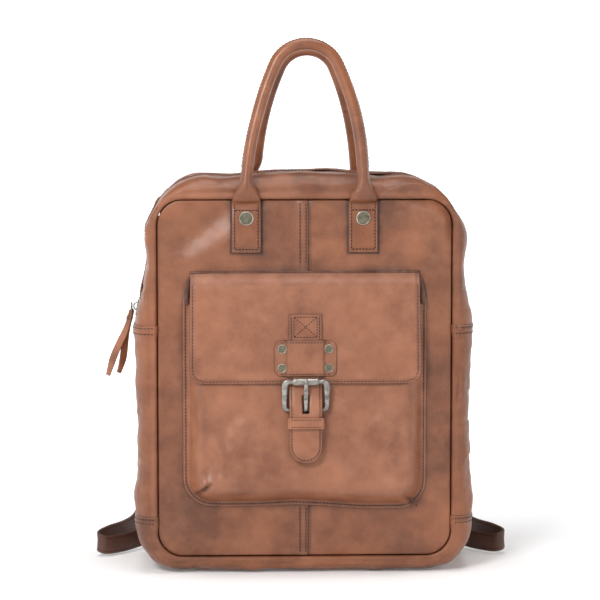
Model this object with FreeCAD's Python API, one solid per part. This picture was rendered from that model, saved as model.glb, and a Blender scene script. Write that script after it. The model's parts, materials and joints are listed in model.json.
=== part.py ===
"""Leather backpack with two grab handles, a buckled front pocket and shoulder straps.

Millimetres, +Z up, front towards -Y, wearer's back towards +Y.
The origin is the middle of the flat base, where the bag stands.
"""
import FreeCAD
import Part
import math
import os
from FreeCAD import Vector

# ---- driving dimensions: bag ----
body_width = 322.0
body_depth = 120.0
body_height = 382.0
corner_radius = 44.0        # lower corners of the front outline
top_corner_radius = 60.0
waist_inset = 11.0          # how far the sides pull in above the side panels
waist_above_hem = 59.0
shoulder_inset = 1.5        # sides at the very top
waist_radius = 60.0
hip_above_hem = 3.0
hip_radius = 30.0           # where the sides start to pull in
edge_roll = 14.0            # roll from the front and back faces into the gusset
leather = 1.8               # panel thickness
panel_inset = 21.5          # panel seam to the side of the bag
panel_bottom = 16.0         # panel seam above the base
panel_top_drop = 26.0       # panel seam below the top
panel_corner = 24.0
base_hem_height = 54.0      # top edge of the bottom gusset
side_hem_height = 237.0     # top edge of the side panels, where the zip ends
lining = 0.8
layer_gap = 0.3             # free space between loose layers
base_board = 1.0

# ---- zip ----
zip_gap = 22.0              # opening between the two top gusset bands
tape = 1.0
tape_under_band = 8.0
chain_width = 5.0
chain_recess = 0.6
slider_length = 12.0
slider_plate = 2.2
slider_clearance = 0.4
slider_wall = 1.4
slider_start = 7.0          # slider's lower end above the side hem, along the zip
slider_travel = 30.0        # along the straight run of the zip
bail_width = 2.0
bail_wall = 1.0
wire_radius = 0.8
wire_clearance = 0.4
link_height = 8.0           # centre to centre of the link's two cross wires
link_width = 8.6
pull_length = 64.0
pull_thickness = 3.6
pull_neck_wall = 1.5
link_hang_room = 1.8        # lets the link hang upright beside the slanted slider
pull_lean = 17.0            # degrees away from the bag's side

# ---- front pocket and its flap ----
pocket_width = 231.0
pocket_bottom = 64.0
pocket_rim = 7.5            # flat sewn border
pocket_corner = 19.0
pocket_mouth_depth = 10.0
pocket_slope = 5.0          # degrees that the pocket's front leans out going down
pocket_front_roll = 7.0
flap_width = 219.0
flap_length = 82.0          # below the pocket's mouth
flap_corner = 14.0
flap_thickness = 3.0
flap_gap = 1.0              # flap's inside to the pocket's front
flap_hinge_rise = 20.0      # hinge above the pocket's mouth
flap_below_tabs = 22.8      # hinge below the handle tabs
flap_strip_height = 6.0
flap_strip = 1.2
flap_strip_gap = 1.0        # strip's lower edge to the flap's rolled top

# ---- closure: distances are measured down from the pocket's mouth ----
billet_width = 31.0
billet = 2.4
billet_top = 15.0
billet_tip = 156.0
billet_point = 16.0
patch_top = 40.0
patch_bottom = 74.0
patch = 1.8
patch_corner = 7.0
patch_rivet_edge = 7.5      # rivet's middle to the patch's side
patch_rivet_side_gap = 0.4
patch_rivet_margin = 8.0    # rivet's middle to the patch's top or bottom
patch_rivet_radius = 4.3
buckle_hinge_at = 105.0
bar_radius = 1.8
bar_clearance = 0.08
roller_radius = 3.6
roller_length = 24.5
roller_clearance = 0.05
roller_over_billet = 0.4
roller_below_patch = 1.4
arm_width = 4.4
arm_thickness = 3.6
arm_beside_billet = 2.4
prong_width = 4.2
prong = 2.3
prong_slot_clearance = 0.8
chape_wall = 1.7
chape_length = 37.0
keeper = 1.4
keeper_top = 113.0
keeper_height = 10.0
keeper_side_gap = 0.6
snap_radius = 7.0
snap_at = 131.0
snap_half = 1.1

# ---- grab handles ----
handle_spacing = 110.4
tab_width = 26.8
tab_length = 49.2
tab_top_drop = 26.0         # tab's top edge below the bag's top
tab_leather = 2.2
tab_backing = 1.0
tab_backing_margin = 1.7
tab_rivet_drop = 17.0
tab_rivet_radius = 6.9
tube_radius = 6.2
core_radius = 4.6
tube_clearance = 0.8
handle_stand_off = 2.0      # tube to the front panel
handle_height = 142.5       # hinge to the middle of the tube at the top
handle_top_radius = 32.0
handle_lean = 9.0           # degrees towards the middle of the bag
rivet_shank = 1.5
rivet_washer = 1.0
rivet_cap = 1.8

# ---- shoulder straps ----
yoke_side_gap = 0.5         # yoke's side to the rear tabs
yoke_top_drop = 26.0
yoke_height = 30.0
yoke = 3.0
yoke_corner = 8.0
strap_width = 36.0
strap_end_width = 30.0
strap = 5.0
lower_strap_width = 18.0
lower_strap = 2.4
strap_top_x = 24.0
strap_below_yoke = 4.0
strap_stand_off = 8.5
anchor_width = 21.0
anchor_height = 18.0
anchor_rise = 7.0
anchor = 5.0
anchor_gap = 4.0
adjuster_wire = 2.4
adjuster_height = 20.0
adjuster_clearance = 0.4
adjuster_side_gap = 1.0

# ---- derived places ----
front_y = -body_depth / 2
back_y = body_depth / 2
side_x = body_width / 2
panel_half = side_x - panel_inset
panel_top = body_height - panel_top_drop
tab_top = body_height - tab_top_drop
tab_bottom = tab_top - tab_length
flap_hinge_z = tab_bottom - flap_below_tabs
flap_hinge_y = front_y - flap_thickness / 2 - 0.6
mouth_z = flap_hinge_z - flap_hinge_rise
mouth_y = front_y - pocket_mouth_depth
flap_inner = flap_gap
flap_outer = flap_gap + flap_thickness
billet_outer = flap_outer + billet
chape_inner = keeper + 1.0
ear_radius = bar_radius + bar_clearance + chape_wall
hinge_n = chape_inner + ear_radius
roller_n = billet_outer + roller_over_billet + roller_radius
roller_s = patch_bottom + roller_below_patch + roller_radius
patch_rivet_x = billet_width / 2 + patch + patch_rivet_side_gap + patch_rivet_radius
billet_over_bar = hinge_n + ear_radius + layer_gap
tab_stack = tab_backing + tab_leather
handle_hinge_y = front_y - tube_radius - handle_stand_off
handle_hinge_z = tab_top + tube_clearance + tube_radius
bail_x = -(side_x - chain_recess + slider_clearance + slider_plate)
link_bore = wire_radius + wire_clearance
link_x = bail_x - (link_bore + pull_neck_wall + layer_gap + link_hang_room)
slider_low = side_hem_height + slider_start
link_seat_z = slider_low + slider_length - 4.0
hip_z = side_hem_height + hip_above_hem
zip_slant = math.degrees(math.atan2(waist_inset, waist_above_hem - hip_above_hem))


# ---- shape helpers ----
def block(x0, x1, y0, y1, z0, z1):
    return Part.makeBox(x1 - x0, y1 - y0, z1 - z0, Vector(x0, y0, z0))


def rod(radius, start, end):
    along = end - start
    return Part.makeCylinder(radius, along.Length, start, along)


def flat_edges(shape, axis, value):
    """Edges that lie wholly in the plane axis = value."""
    found = []
    for edge in shape.Edges:
        points = [getattr(v.Point, axis) for v in edge.Vertexes]
        if all(abs(p - value) < 1e-4 for p in points):
            found.append(edge)
    return found


def edges_along_y(shape):
    found = []
    for edge in shape.Edges:
        a, b = edge.Vertexes[0].Point, edge.Vertexes[-1].Point
        if abs(a.x - b.x) < 1e-6 and abs(a.z - b.z) < 1e-6 and abs(a.y - b.y) > 1e-6:
            found.append(edge)
    return found


def rounded_plate(x0, x1, y0, y1, z0, z1, radius):
    """Plate facing Y, with its four corners rounded."""
    plate = block(x0, x1, y0, y1, z0, z1)
    return plate.makeFillet(radius, edges_along_y(plate))


def prism_x(points, half_width):
    """Closed (y, z) outline pushed from -half_width to half_width along X."""
    corners = [Vector(-half_width, y, z) for y, z in points]
    wire = Part.makePolygon(corners + [corners[0]])
    return Part.Face(wire).extrude(Vector(2 * half_width, 0, 0))


def mirrored(shape):
    """The same shape on the other side of the bag."""
    return shape.mirror(Vector(0, 0, 0), Vector(1, 0, 0))


def turned_round(shape):
    """The same shape at the back of the bag instead of the front."""
    return shape.mirror(Vector(0, 0, 0), Vector(0, 1, 0))


def both_sides(shape):
    return Part.makeCompound([shape, mirrored(shape)])


def side_outline():
    """Right-hand (x, z, radius) corners of the bag's front outline, from the base to the top."""
    waist_z = side_hem_height + waist_above_hem
    return [(side_x, 0.0, corner_radius), (side_x, hip_z, hip_radius),
            (side_x - waist_inset, waist_z, waist_radius),
            (side_x - shoulder_inset, body_height, top_corner_radius)]


def rounded_outline(corners):
    """Closed wire in the XZ plane through (x, z, radius) corners, each rounded by an arc."""
    edges = []
    last_end = None
    first_start = None
    count = len(corners)
    for i, (x, z, radius) in enumerate(corners):
        here = Vector(x, 0, z)
        before = Vector(corners[i - 1][0], 0, corners[i - 1][1]) - here
        after = Vector(corners[(i + 1) % count][0], 0, corners[(i + 1) % count][1]) - here
        before.normalize()
        after.normalize()
        half_angle = before.getAngle(after) / 2
        reach = radius / math.tan(half_angle)
        bisector = (before + after).normalize()
        middle = here + bisector * (radius / math.sin(half_angle) - radius)
        start, end = here + before * reach, here + after * reach
        if last_end is None:
            first_start = start
        else:
            edges.append(Part.makeLine(last_end, start))
        edges.append(Part.Arc(start, middle, end).toShape())
        last_end = end
    edges.append(Part.makeLine(last_end, first_start))
    return Part.Wire(edges)


def body_form(inset):
    """The bag's rounded form, moved inwards by inset."""
    right = side_outline()
    left = [(-x, z, radius) for x, z, radius in reversed(right)]
    wire = rounded_outline(right + left)
    if inset:
        wire = wire.makeOffset2D(-inset)
    wire.translate(Vector(0, front_y + inset, 0))
    form = Part.Face(wire).extrude(Vector(0, body_depth - 2 * inset, 0))
    rims = flat_edges(form, "y", front_y + inset) + flat_edges(form, "y", back_y - inset)
    return form.makeFillet(edge_roll - inset, rims)


def body_layer(outer_inset, inner_inset):
    return body_form(outer_inset).cut(body_form(inner_inset))


def far_block(y0, y1, z0, z1, x0=-400.0, x1=400.0):
    return block(x0, x1, y0, y1, z0, z1)


def panel_prism(y0, y1):
    return rounded_plate(-panel_half, panel_half, y0, y1, panel_bottom, panel_top, panel_corner)


# ---- closure frame: n is outwards from the pocket's front, s is down from its mouth ----
def closure_point(n, s):
    """(y, z) of a point n outside the pocket's front and s below its mouth."""
    tilt = math.radians(pocket_slope)
    y = mouth_y - n * math.cos(tilt) - s * math.sin(tilt)
    z = mouth_z + n * math.sin(tilt) - s * math.cos(tilt)
    return y, z


def on_closure(shape):
    """Place a shape that was drawn with y = -n and z = -s."""
    placed = shape.copy()
    placed.rotate(Vector(0, 0, 0), Vector(1, 0, 0), -pocket_slope)
    placed.translate(Vector(0, mouth_y, mouth_z))
    return placed


def closure_block(half_width, n0, n1, s0, s1):
    return block(-half_width, half_width, -n1, -n0, -s1, -s0)


def closure_prism(points, half_width):
    return prism_x([(-n, -s) for n, s in points], half_width)


def rivet(radius, cap_height, through, washer_radius):
    """Domed rivet along -Y: its cap's seat is at y = 0, its washer beyond y = through."""
    profile = [(0, -cap_height), (radius * 0.6, -cap_height), (radius * 0.9, -cap_height * 0.6),
               (radius, 0), (rivet_shank, 0), (rivet_shank, through), (washer_radius, through),
               (washer_radius, through + rivet_washer), (0, through + rivet_washer)]
    points = [Vector(r, y, 0) for r, y in profile]
    face = Part.Face(Part.makePolygon(points + [points[0]]))
    return face.revolve(Vector(0, 0, 0), Vector(0, 1, 0), 360)


# ---- bag body ----
def make_body_panels():
    shell = body_layer(0, leather)
    front_prism = panel_prism(front_y - 5, front_y + leather)
    back_prism = panel_prism(back_y - leather, back_y + 5)
    front = shell.common(front_prism)
    ring = shell.cut(front_prism).cut(back_prism)
    upper = ring.common(far_block(-200, 200, side_hem_height, body_height + 10))
    middle = ring.common(far_block(-200, 200, base_hem_height, side_hem_height))
    half_gap = zip_gap / 2
    parts = {}
    parts["front_panel_left"] = front.common(far_block(-200, 200, -10, 600, x1=0.0))
    parts["front_panel_right"] = front.common(far_block(-200, 200, -10, 600, x0=0.0))
    parts["back_panel"] = shell.common(back_prism)
    parts["bottom_gusset"] = ring.common(far_block(-200, 200, -10, base_hem_height))
    parts["side_panel_left"] = middle.common(far_block(-200, 200, 0, 600, x1=0.0))
    parts["side_panel_right"] = middle.common(far_block(-200, 200, 0, 600, x0=0.0))
    parts["top_gusset_front"] = upper.common(far_block(-200, -half_gap, 0, 600))
    parts["top_gusset_back"] = upper.common(far_block(half_gap, 200, 0, 600))
    return parts


def make_zip_line():
    half_gap = zip_gap / 2
    half_chain = chain_width / 2
    tape_form = body_layer(leather, leather + tape)
    above = side_hem_height + 0.2
    outer_edge = half_gap + tape_under_band
    parts = {}
    parts["zip_tape_front"] = tape_form.common(far_block(-outer_edge, -half_chain, above, 600))
    parts["zip_tape_back"] = tape_form.common(far_block(half_chain, outer_edge, above, 600))
    chain_form = body_layer(chain_recess, leather + tape)
    parts["zip_chain"] = chain_form.common(far_block(-half_chain, half_chain, above, 600))
    stop = block(-side_x + 0.1, -side_x + chain_recess, -half_chain, half_chain, above, above + 3)
    parts["zip_stops"] = both_sides(stop)
    return parts


def make_inside():
    inset = leather + tape + layer_gap
    bag = body_layer(inset, inset + lining)
    mouth = far_block(-zip_gap / 2 + 2, zip_gap / 2 - 2, side_hem_height + 8, 600)
    board_x = side_x - corner_radius
    board_y = back_y - edge_roll
    board = block(-board_x, board_x, -board_y, board_y, leather, leather + base_board)
    return {"lining": bag.cut(mouth), "base_board": board}


# ---- zip slider, link and pull on the left side ----
def on_zip(point):
    """Where a point drawn against an upright side goes on the slanted run of the zip."""
    slant = math.radians(zip_slant)
    x, z = point.x + side_x, point.z - hip_z
    return Vector(x * math.cos(slant) + z * math.sin(slant) - side_x, point.y,
                  z * math.cos(slant) - x * math.sin(slant) + hip_z)


def slanted_to_zip(shape):
    placed = shape.copy()
    placed.rotate(Vector(-side_x, 0, hip_z), Vector(0, 1, 0), zip_slant)
    return placed


link_top = on_zip(Vector(link_x, 0, link_seat_z))


def make_zip_pull():
    chain_face = -(side_x - chain_recess)
    plate_in = chain_face - slider_clearance
    half_in = chain_width / 2 + slider_clearance
    half_out = half_in + slider_wall
    top = slider_low + slider_length
    tape_face = -(side_x - leather)
    body = block(bail_x, plate_in, -half_out, half_out, slider_low, top)
    for low, high in ((-half_out, -half_in), (half_in, half_out)):
        body = body.fuse(block(bail_x, tape_face - slider_clearance, low, high, slider_low, top))
    bail_reach = link_bore + bail_wall
    bail = block(link_x - bail_reach, bail_x, -bail_width / 2, bail_width / 2,
                 link_seat_z - bail_reach, link_seat_z + bail_reach)
    hole = rod(link_bore, Vector(link_x, -5, link_seat_z), Vector(link_x, 5, link_seat_z))
    slider = slanted_to_zip(body.fuse(bail).cut(hole).removeSplitter())

    half_link = link_width / 2
    low_z = link_top.z - link_height
    corners = [Vector(link_top.x, -half_link, low_z), Vector(link_top.x, half_link, low_z),
               Vector(link_top.x, half_link, link_top.z), Vector(link_top.x, -half_link, link_top.z)]
    link = None
    for here, there in zip(corners, corners[1:] + corners[:1]):
        piece = rod(wire_radius, here, there).fuse(Part.makeSphere(wire_radius, here))
        link = piece if link is None else link.fuse(piece)

    neck_radius = link_bore + pull_neck_wall
    half_neck = half_link - wire_radius - 0.6
    centre = Vector(link_top.x, 0, low_z)
    neck = rod(neck_radius, centre - Vector(0, half_neck, 0), centre + Vector(0, half_neck, 0))
    tail = block(-pull_thickness / 2, pull_thickness / 2, -half_neck, half_neck, -pull_length, 0)
    tail.rotate(Vector(0, 0, 0), Vector(0, 1, 0), pull_lean)
    tail.translate(centre)
    bore = rod(link_bore, centre - Vector(0, 9, 0), centre + Vector(0, 9, 0))
    pull = neck.fuse(tail).cut(bore)
    return {"zip_slider": slider, "zip_link": link.removeSplitter(), "zip_pull": pull}


# ---- front pocket ----
def pocket_box(skin, top_s):
    """Pocket's raised block moved inwards by skin, up to top_s below the mouth."""
    foot_z = pocket_bottom + pocket_rim + skin
    low = closure_point(-skin, mouth_z - foot_z)
    high = closure_point(-skin, top_s)
    outline = [(front_y, high[1]), high, low, (front_y, foot_z)]
    solid = prism_x(outline, pocket_width / 2 - pocket_rim - skin)
    front_rim = [edge for edge in solid.Edges
                 if edge.Vertexes[0].Point.y < front_y - 1 and edge.Vertexes[-1].Point.y < front_y - 1
                 and edge.BoundBox.ZMin < mouth_z - 10]
    return solid.makeFillet(pocket_front_roll - skin, front_rim)


def make_pocket():
    half = pocket_width / 2
    rim = rounded_plate(-half, half, front_y - leather, front_y, pocket_bottom, mouth_z + 30, pocket_corner)
    pocket = rim.fuse(pocket_box(0.0, 0.0)).common(far_block(-400, 400, 0, mouth_z))
    pocket = pocket.cut(pocket_box(leather, -20.0)).removeSplitter()
    snap = rod(snap_radius, Vector(0, -snap_half, -snap_at), Vector(0, 0, -snap_at))
    return {"pocket_body": pocket, "snap_female": on_closure(snap)}


def flap_outline():
    """Flap section as (y, z) points, from the hinge down to the free edge."""
    inner_low = closure_point(flap_inner, flap_length)
    outer_low = closure_point(flap_outer, flap_length)
    inner_high = closure_point(flap_inner, -3.0)
    outer_high = closure_point(flap_outer, -5.0)
    half = flap_thickness / 2 - 0.05
    slant = math.atan2(flap_hinge_z - outer_high[1], flap_hinge_y - outer_high[0])
    across = (half * math.sin(slant), half * math.cos(slant))
    hinge_in = (flap_hinge_y + across[0], flap_hinge_z - across[1])
    hinge_out = (flap_hinge_y - across[0], flap_hinge_z + across[1])
    return [hinge_in, inner_high, inner_low, outer_low, outer_high, hinge_out]


def make_flap():
    half = flap_width / 2
    free_z = closure_point(flap_outer, flap_length)[1]
    sheet = prism_x(flap_outline(), half)
    bead = rod(flap_thickness / 2, Vector(-half, flap_hinge_y, flap_hinge_z),
               Vector(half, flap_hinge_y, flap_hinge_z))
    outline = rounded_plate(-half, half, -200, 0, free_z - 0.5, flap_hinge_z + 60, flap_corner)
    flap = sheet.fuse(bead).common(outline).removeSplitter()
    strip_z = flap_hinge_z + flap_thickness / 2 + flap_strip_gap
    strip = block(-half, half, front_y - flap_strip, front_y, strip_z, strip_z + flap_strip_height)
    return {"pocket_flap": flap, "flap_seam_strip": strip}


# ---- strap, riveted patch and buckle ----
def make_billet():
    on_flap = flap_outer
    over = billet_over_bar
    hang = over - 2.6
    inner = [(on_flap, billet_top), (on_flap, flap_length + 2), (over, buckle_hinge_at - 5),
             (over, buckle_hinge_at + 5), (hang, buckle_hinge_at + 20), (hang - 0.6, billet_tip)]
    outer = [(n + billet, s) for n, s in reversed(inner)]
    strip = closure_prism(inner + outer, billet_width / 2)
    half = billet_width / 2
    point_s = billet_tip - billet_point
    outline = [Vector(-half, 0, -billet_top), Vector(half, 0, -billet_top), Vector(half, 0, -point_s),
               Vector(half * 0.35, 0, -billet_tip + 1.5), Vector(0, 0, -billet_tip),
               Vector(-half * 0.35, 0, -billet_tip + 1.5), Vector(-half, 0, -point_s)]
    face = Part.Face(Part.makePolygon(outline + [outline[0]]))
    strip = strip.common(face.extrude(Vector(0, -60, 0)))
    slot_half = prong_width / 2 + prong_slot_clearance
    slot = closure_block(slot_half, -5, 40, buckle_hinge_at - 15, buckle_hinge_at + 4)
    return strip.cut(slot)


def make_patch():
    half = patch_rivet_x + patch_rivet_edge
    bridge_half = billet_width / 2 + patch
    plate = closure_block(half, flap_outer, flap_outer + patch, patch_top, patch_bottom)
    plate = plate.makeFillet(patch_corner, edges_along_y(plate))
    bridge = closure_block(bridge_half, flap_outer, billet_outer + patch, patch_top, patch_bottom)
    under = closure_block(billet_width / 2, flap_outer - 1, billet_outer, patch_top - 5, patch_bottom + 5)
    return plate.fuse(bridge).cut(under).removeSplitter()


def patch_rivet_places():
    for x in (-patch_rivet_x, patch_rivet_x):
        for s in (patch_top + patch_rivet_margin, patch_bottom - patch_rivet_margin):
            yield x, s


def make_patch_rivets():
    seat = flap_outer + patch
    pieces = []
    for x, s in patch_rivet_places():
        piece = rivet(patch_rivet_radius, rivet_cap, patch + flap_thickness, 3.0)
        piece = piece.common(block(-9, 9, -9, seat - 0.3, -9, 9))
        piece.translate(Vector(x, -seat, -s))
        pieces.append(piece)
    return Part.makeCompound(pieces)


def rivet_holes():
    holes = [rod(rivet_shank, Vector(x, -40, -s), Vector(x, 20, -s)) for x, s in patch_rivet_places()]
    return Part.makeCompound(holes)


def make_chape():
    half = billet_width / 2
    gap_half = prong_width / 2 + prong_slot_clearance + 0.3
    plate = closure_block(half, chape_inner, hinge_n, buckle_hinge_at, buckle_hinge_at + chape_length)
    centre = Vector(0, -hinge_n, -buckle_hinge_at)
    side = Vector(half, 0, 0)
    eye = rod(ear_radius, centre - side, centre + side)
    bore = rod(bar_radius + bar_clearance, centre - side * 2, centre + side * 2)
    slot = closure_block(gap_half, -5, 40, buckle_hinge_at - 12, buckle_hinge_at + ear_radius + 1.5)
    return plate.fuse(eye).cut(bore).cut(slot).removeSplitter()


def make_keeper():
    inside_half = billet_width / 2 + keeper_side_gap
    front_in = billet_over_bar + billet + 0.3
    low, high = keeper_top, keeper_top + keeper_height
    outer = closure_block(inside_half + keeper, chape_inner - keeper, front_in + keeper, low, high)
    inner = closure_block(inside_half, chape_inner, front_in, low - 2, high + 2)
    return outer.cut(inner)


def make_snap_male():
    disc = rod(snap_radius, Vector(0, -chape_inner, -snap_at),
               Vector(0, -(snap_half + layer_gap), -snap_at))
    return disc


def buckle_span():
    """Length and outward tilt, in degrees, of the buckle from hinge bar to roller bar."""
    rise = buckle_hinge_at - roller_s
    out = roller_n - hinge_n
    return math.hypot(rise, out), math.degrees(math.atan2(out, rise))


def on_buckle(shape):
    """Place a shape drawn with the hinge bar at the origin and the roller bar above it."""
    placed = shape.copy()
    placed.rotate(Vector(0, 0, 0), Vector(1, 0, 0), buckle_span()[1])
    placed.translate(Vector(0, -hinge_n, -buckle_hinge_at))
    return placed


def make_buckle():
    span = buckle_span()[0]
    inside = billet_width / 2 + arm_beside_billet
    outside = inside + arm_width
    side = Vector(inside + 1, 0, 0)
    top = Vector(0, 0, span)
    frame = rod(bar_radius, -side, side).fuse(rod(bar_radius, top - side, top + side))
    for sign in (-1, 1):
        low_x, high_x = sorted((sign * inside, sign * outside))
        arm = block(low_x, high_x, -arm_thickness / 2, arm_thickness / 2, -2.4, span + 2.4)
        frame = frame.fuse(arm.makeFillet(1.2, arm.Edges))
    half_roller = Vector(roller_length / 2, 0, 0)
    roller = rod(roller_radius, top - half_roller, top + half_roller)
    roller = roller.cut(rod(bar_radius + roller_clearance, top - half_roller * 2, top + half_roller * 2))

    eye_radius = bar_radius + bar_clearance + 1.4
    half = prong_width / 2
    eye = rod(eye_radius, Vector(-half, 0, 0), Vector(half, 0, 0))
    rest = -(roller_radius + 0.25)
    shank = prism_x([(-0.9, 1.6), (rest, span), (rest, span + 2.4), (rest - prong * 0.7, span + 2.4),
                     (rest - prong, span - 1), (-eye_radius + 0.1, 0.2)], half)
    bore = rod(bar_radius + bar_clearance, Vector(-9, 0, 0), Vector(9, 0, 0))
    tongue = eye.fuse(shank).cut(bore)
    return {"buckle_frame": frame.removeSplitter(), "buckle_roller": roller, "buckle_prong": tongue}


def make_closure():
    holes = rivet_holes()
    parts = {"billet_strap": on_closure(make_billet()), "chape": on_closure(make_chape())}
    parts["strap_patch"] = on_closure(make_patch().cut(holes))
    parts["patch_rivets"] = on_closure(make_patch_rivets())
    parts["keeper_loop"] = on_closure(make_keeper())
    parts["snap_male"] = on_closure(make_snap_male())
    for name, shape in make_buckle().items():
        parts[name] = on_closure(on_buckle(shape))
    return parts, on_closure(holes)


# ---- grab handles ----
def handle_path():
    """Upright arch in the XZ plane with its feet at z = 0: two long arcs and a tight top."""
    foot = handle_spacing / 2
    top = handle_top_radius
    rise = handle_height - top
    side_radius = (foot ** 2 + rise ** 2 - top ** 2) / (2 * (foot - top))
    centre = Vector(side_radius - foot, 0, 0)
    crown = Vector(0, 0, rise)
    outward = (crown - centre).normalize()
    meet = crown + outward * top
    start_angle = math.pi
    meet_angle = math.atan2(outward.z, outward.x)
    middle_angle = (start_angle + meet_angle) / 2
    middle = centre + Vector(math.cos(middle_angle), 0, math.sin(middle_angle)) * side_radius
    left = Part.Arc(Vector(-foot, 0, 0), middle, meet).toShape()
    crown_arc = Part.Arc(meet, crown + Vector(0, 0, top), Vector(-meet.x, 0, meet.z)).toShape()
    right = Part.Arc(Vector(-meet.x, 0, meet.z), Vector(-middle.x, 0, middle.z), Vector(foot, 0, 0)).toShape()
    return Part.Wire([left, crown_arc, right])


def handle_tube(radius):
    path = handle_path()
    foot = handle_spacing / 2
    section = Part.Wire(Part.makeCircle(radius, Vector(-foot, 0, 0), Vector(0, 0, 1)))
    return path.makePipeShell([section], True, False)


def make_handle():
    foot = handle_spacing / 2
    core = handle_tube(core_radius)
    cover = handle_tube(tube_radius)
    for x in (-foot, foot):
        cover = cover.fuse(Part.makeSphere(tube_radius, Vector(x, 0, 0)))
    cover = cover.cut(core)
    placed = []
    for shape in (cover, core):
        shape.rotate(Vector(0, 0, 0), Vector(1, 0, 0), -handle_lean)
        shape.translate(Vector(0, handle_hinge_y, handle_hinge_z))
        placed.append(shape)
    return placed


def make_tabs():
    """Handle tabs, their backing and their rivets, on the front of the bag."""
    middle = handle_spacing / 2
    half = tab_width / 2
    wide = half + tab_backing_margin
    rivet_z = tab_top - tab_rivet_drop
    backing = block(middle - wide, middle + wide, front_y - tab_backing, front_y,
                    tab_bottom - tab_backing_margin, tab_top)
    tab = block(middle - half, middle + half, front_y - tab_stack, front_y - tab_backing,
                tab_bottom, tab_top)
    hole = rod(rivet_shank, Vector(middle, front_y - 20, rivet_z), Vector(middle, front_y + 5, rivet_z))
    pin = rivet(tab_rivet_radius, rivet_cap, tab_stack + leather, 4.0)
    pin.translate(Vector(middle, front_y - tab_stack, rivet_z))
    return backing.cut(hole), tab.cut(hole), pin, hole


def make_handles():
    parts = {}
    backing, tab, pin, hole = make_tabs()
    cover, core = make_handle()
    for place, turn in (("front", lambda s: s), ("rear", turned_round)):
        parts[place + "_handle_cover"] = turn(cover)
        parts[place + "_handle_core"] = turn(core)
        parts[place + "_handle_tabs"] = both_sides(turn(tab))
        parts[place + "_tab_backings"] = both_sides(turn(backing))
        parts[place + "_handle_rivets"] = both_sides(turn(pin))
    holes = Part.makeCompound([both_sides(hole), both_sides(turned_round(hole))])
    return parts, holes


# ---- shoulder straps ----
def strap_section(centre, across, along, width, thickness):
    """Rectangle round centre, its width along across and its face square to along."""
    across = Vector(across).normalize()
    normal = Vector(along).cross(across).normalize()
    half_w = across * (width / 2)
    half_t = normal * (thickness / 2)
    corners = [centre - half_w - half_t, centre + half_w - half_t,
               centre + half_w + half_t, centre - half_w + half_t]
    return Part.makePolygon(corners + [corners[0]])


def strap_loft(stations, thickness):
    """Solid strip through (point, across, width) stations."""
    wires = []
    last = len(stations) - 1
    for i, (point, across, width) in enumerate(stations):
        along = stations[min(i + 1, last)][0] - stations[max(i - 1, 0)][0]
        square = along - Vector(across) * along.dot(Vector(across).normalize())
        wires.append(strap_section(point, across, square, width, thickness))
    return Part.makeLoft(wires, True, True)


strap_top_z = body_height - yoke_top_drop - yoke_height - strap_below_yoke
strap_back = back_y + strap_stand_off
anchor_x = panel_half - anchor_width
anchor_end = Vector(panel_half + anchor_gap, strap_back, anchor_rise + 9.0)
strap_top = Vector(strap_top_x, strap_back, strap_top_z)
adjuster_high = Vector(106.0, back_y + 43.0, 110.0)
adjuster_low = Vector(150.0, back_y + 39.0, 46.0)


def make_shoulder_strap():
    """Right-hand strap: padded upper strap, narrow lower strap and its adjuster."""
    level = Vector(1, 0, 0)
    run = (adjuster_low - adjuster_high).normalize()
    slanted = Vector(-run.z, 0, run.x)
    upright = Vector(0, 0, 1)
    bow = back_y + 44.0
    wide = [(strap_top, level, strap_end_width),
            (Vector(42, back_y + 15.0, 288), level, strap_width),
            (Vector(62, back_y + 32.0, 236), level, strap_width),
            (Vector(84, bow, 170), level, strap_width),
            (adjuster_high + Vector(0, 0, 10), level, lower_strap_width)]
    low_z = lower_strap_width / 2
    narrow = [(adjuster_high, slanted, lower_strap_width), (adjuster_low, slanted, lower_strap_width),
              (Vector(172, back_y + 37.0, low_z + 21), Vector(0.5, 0, 0.87), lower_strap_width),
              (Vector(189, back_y + 32.0, low_z + 15), upright, lower_strap_width),
              (Vector(197, back_y + 23.0, low_z + 10), upright, lower_strap_width),
              (Vector(190, back_y + 13.0, low_z + 4), upright, lower_strap_width),
              (Vector(168, back_y + 8.0, low_z + 2), upright, lower_strap_width),
              (anchor_end, upright, lower_strap_width)]
    upper = strap_loft(wide, strap)
    lower = strap_loft(narrow, lower_strap)

    middle = (adjuster_high + adjuster_low) * 0.5
    half_w = lower_strap_width / 2 + adjuster_side_gap
    half_t = lower_strap / 2 + adjuster_clearance
    half_h = adjuster_height / 2
    frame = block(-half_w - adjuster_wire, half_w + adjuster_wire, -half_t - adjuster_wire,
                  half_t + adjuster_wire, -half_h, half_h)
    frame = frame.cut(block(-half_w, half_w, -half_t, half_t, -half_h - 1, half_h + 1))
    window = block(-half_w, half_w, -20, 20, -half_h + adjuster_wire, half_h - adjuster_wire)
    frame = frame.cut(window)
    square = run - slanted.normalize() * run.dot(slanted.normalize())
    normal = square.cross(slanted).normalize()
    axes = FreeCAD.Rotation(slanted, normal, slanted.cross(normal), "XYZ")
    frame.Placement = FreeCAD.Placement(middle, axes)
    return upper, lower, frame


def make_straps():
    upper, lower, adjuster = make_shoulder_strap()
    yoke_top = body_height - yoke_top_drop
    half_yoke = handle_spacing / 2 - tab_width / 2 - tab_backing_margin - yoke_side_gap
    plate = rounded_plate(-half_yoke, half_yoke, back_y, back_y + yoke,
                          yoke_top - yoke_height, yoke_top, yoke_corner)
    foot = block(anchor_x, panel_half, back_y, back_y + anchor, anchor_rise, anchor_rise + anchor_height)
    parts = {"strap_yoke": plate}
    for side, turn in (("right", lambda s: s), ("left", mirrored)):
        parts["shoulder_strap_" + side] = turn(upper)
        parts["lower_strap_" + side] = turn(lower)
        parts["strap_adjuster_" + side] = turn(adjuster)
        parts["strap_anchor_" + side] = turn(foot)
    return parts


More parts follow.
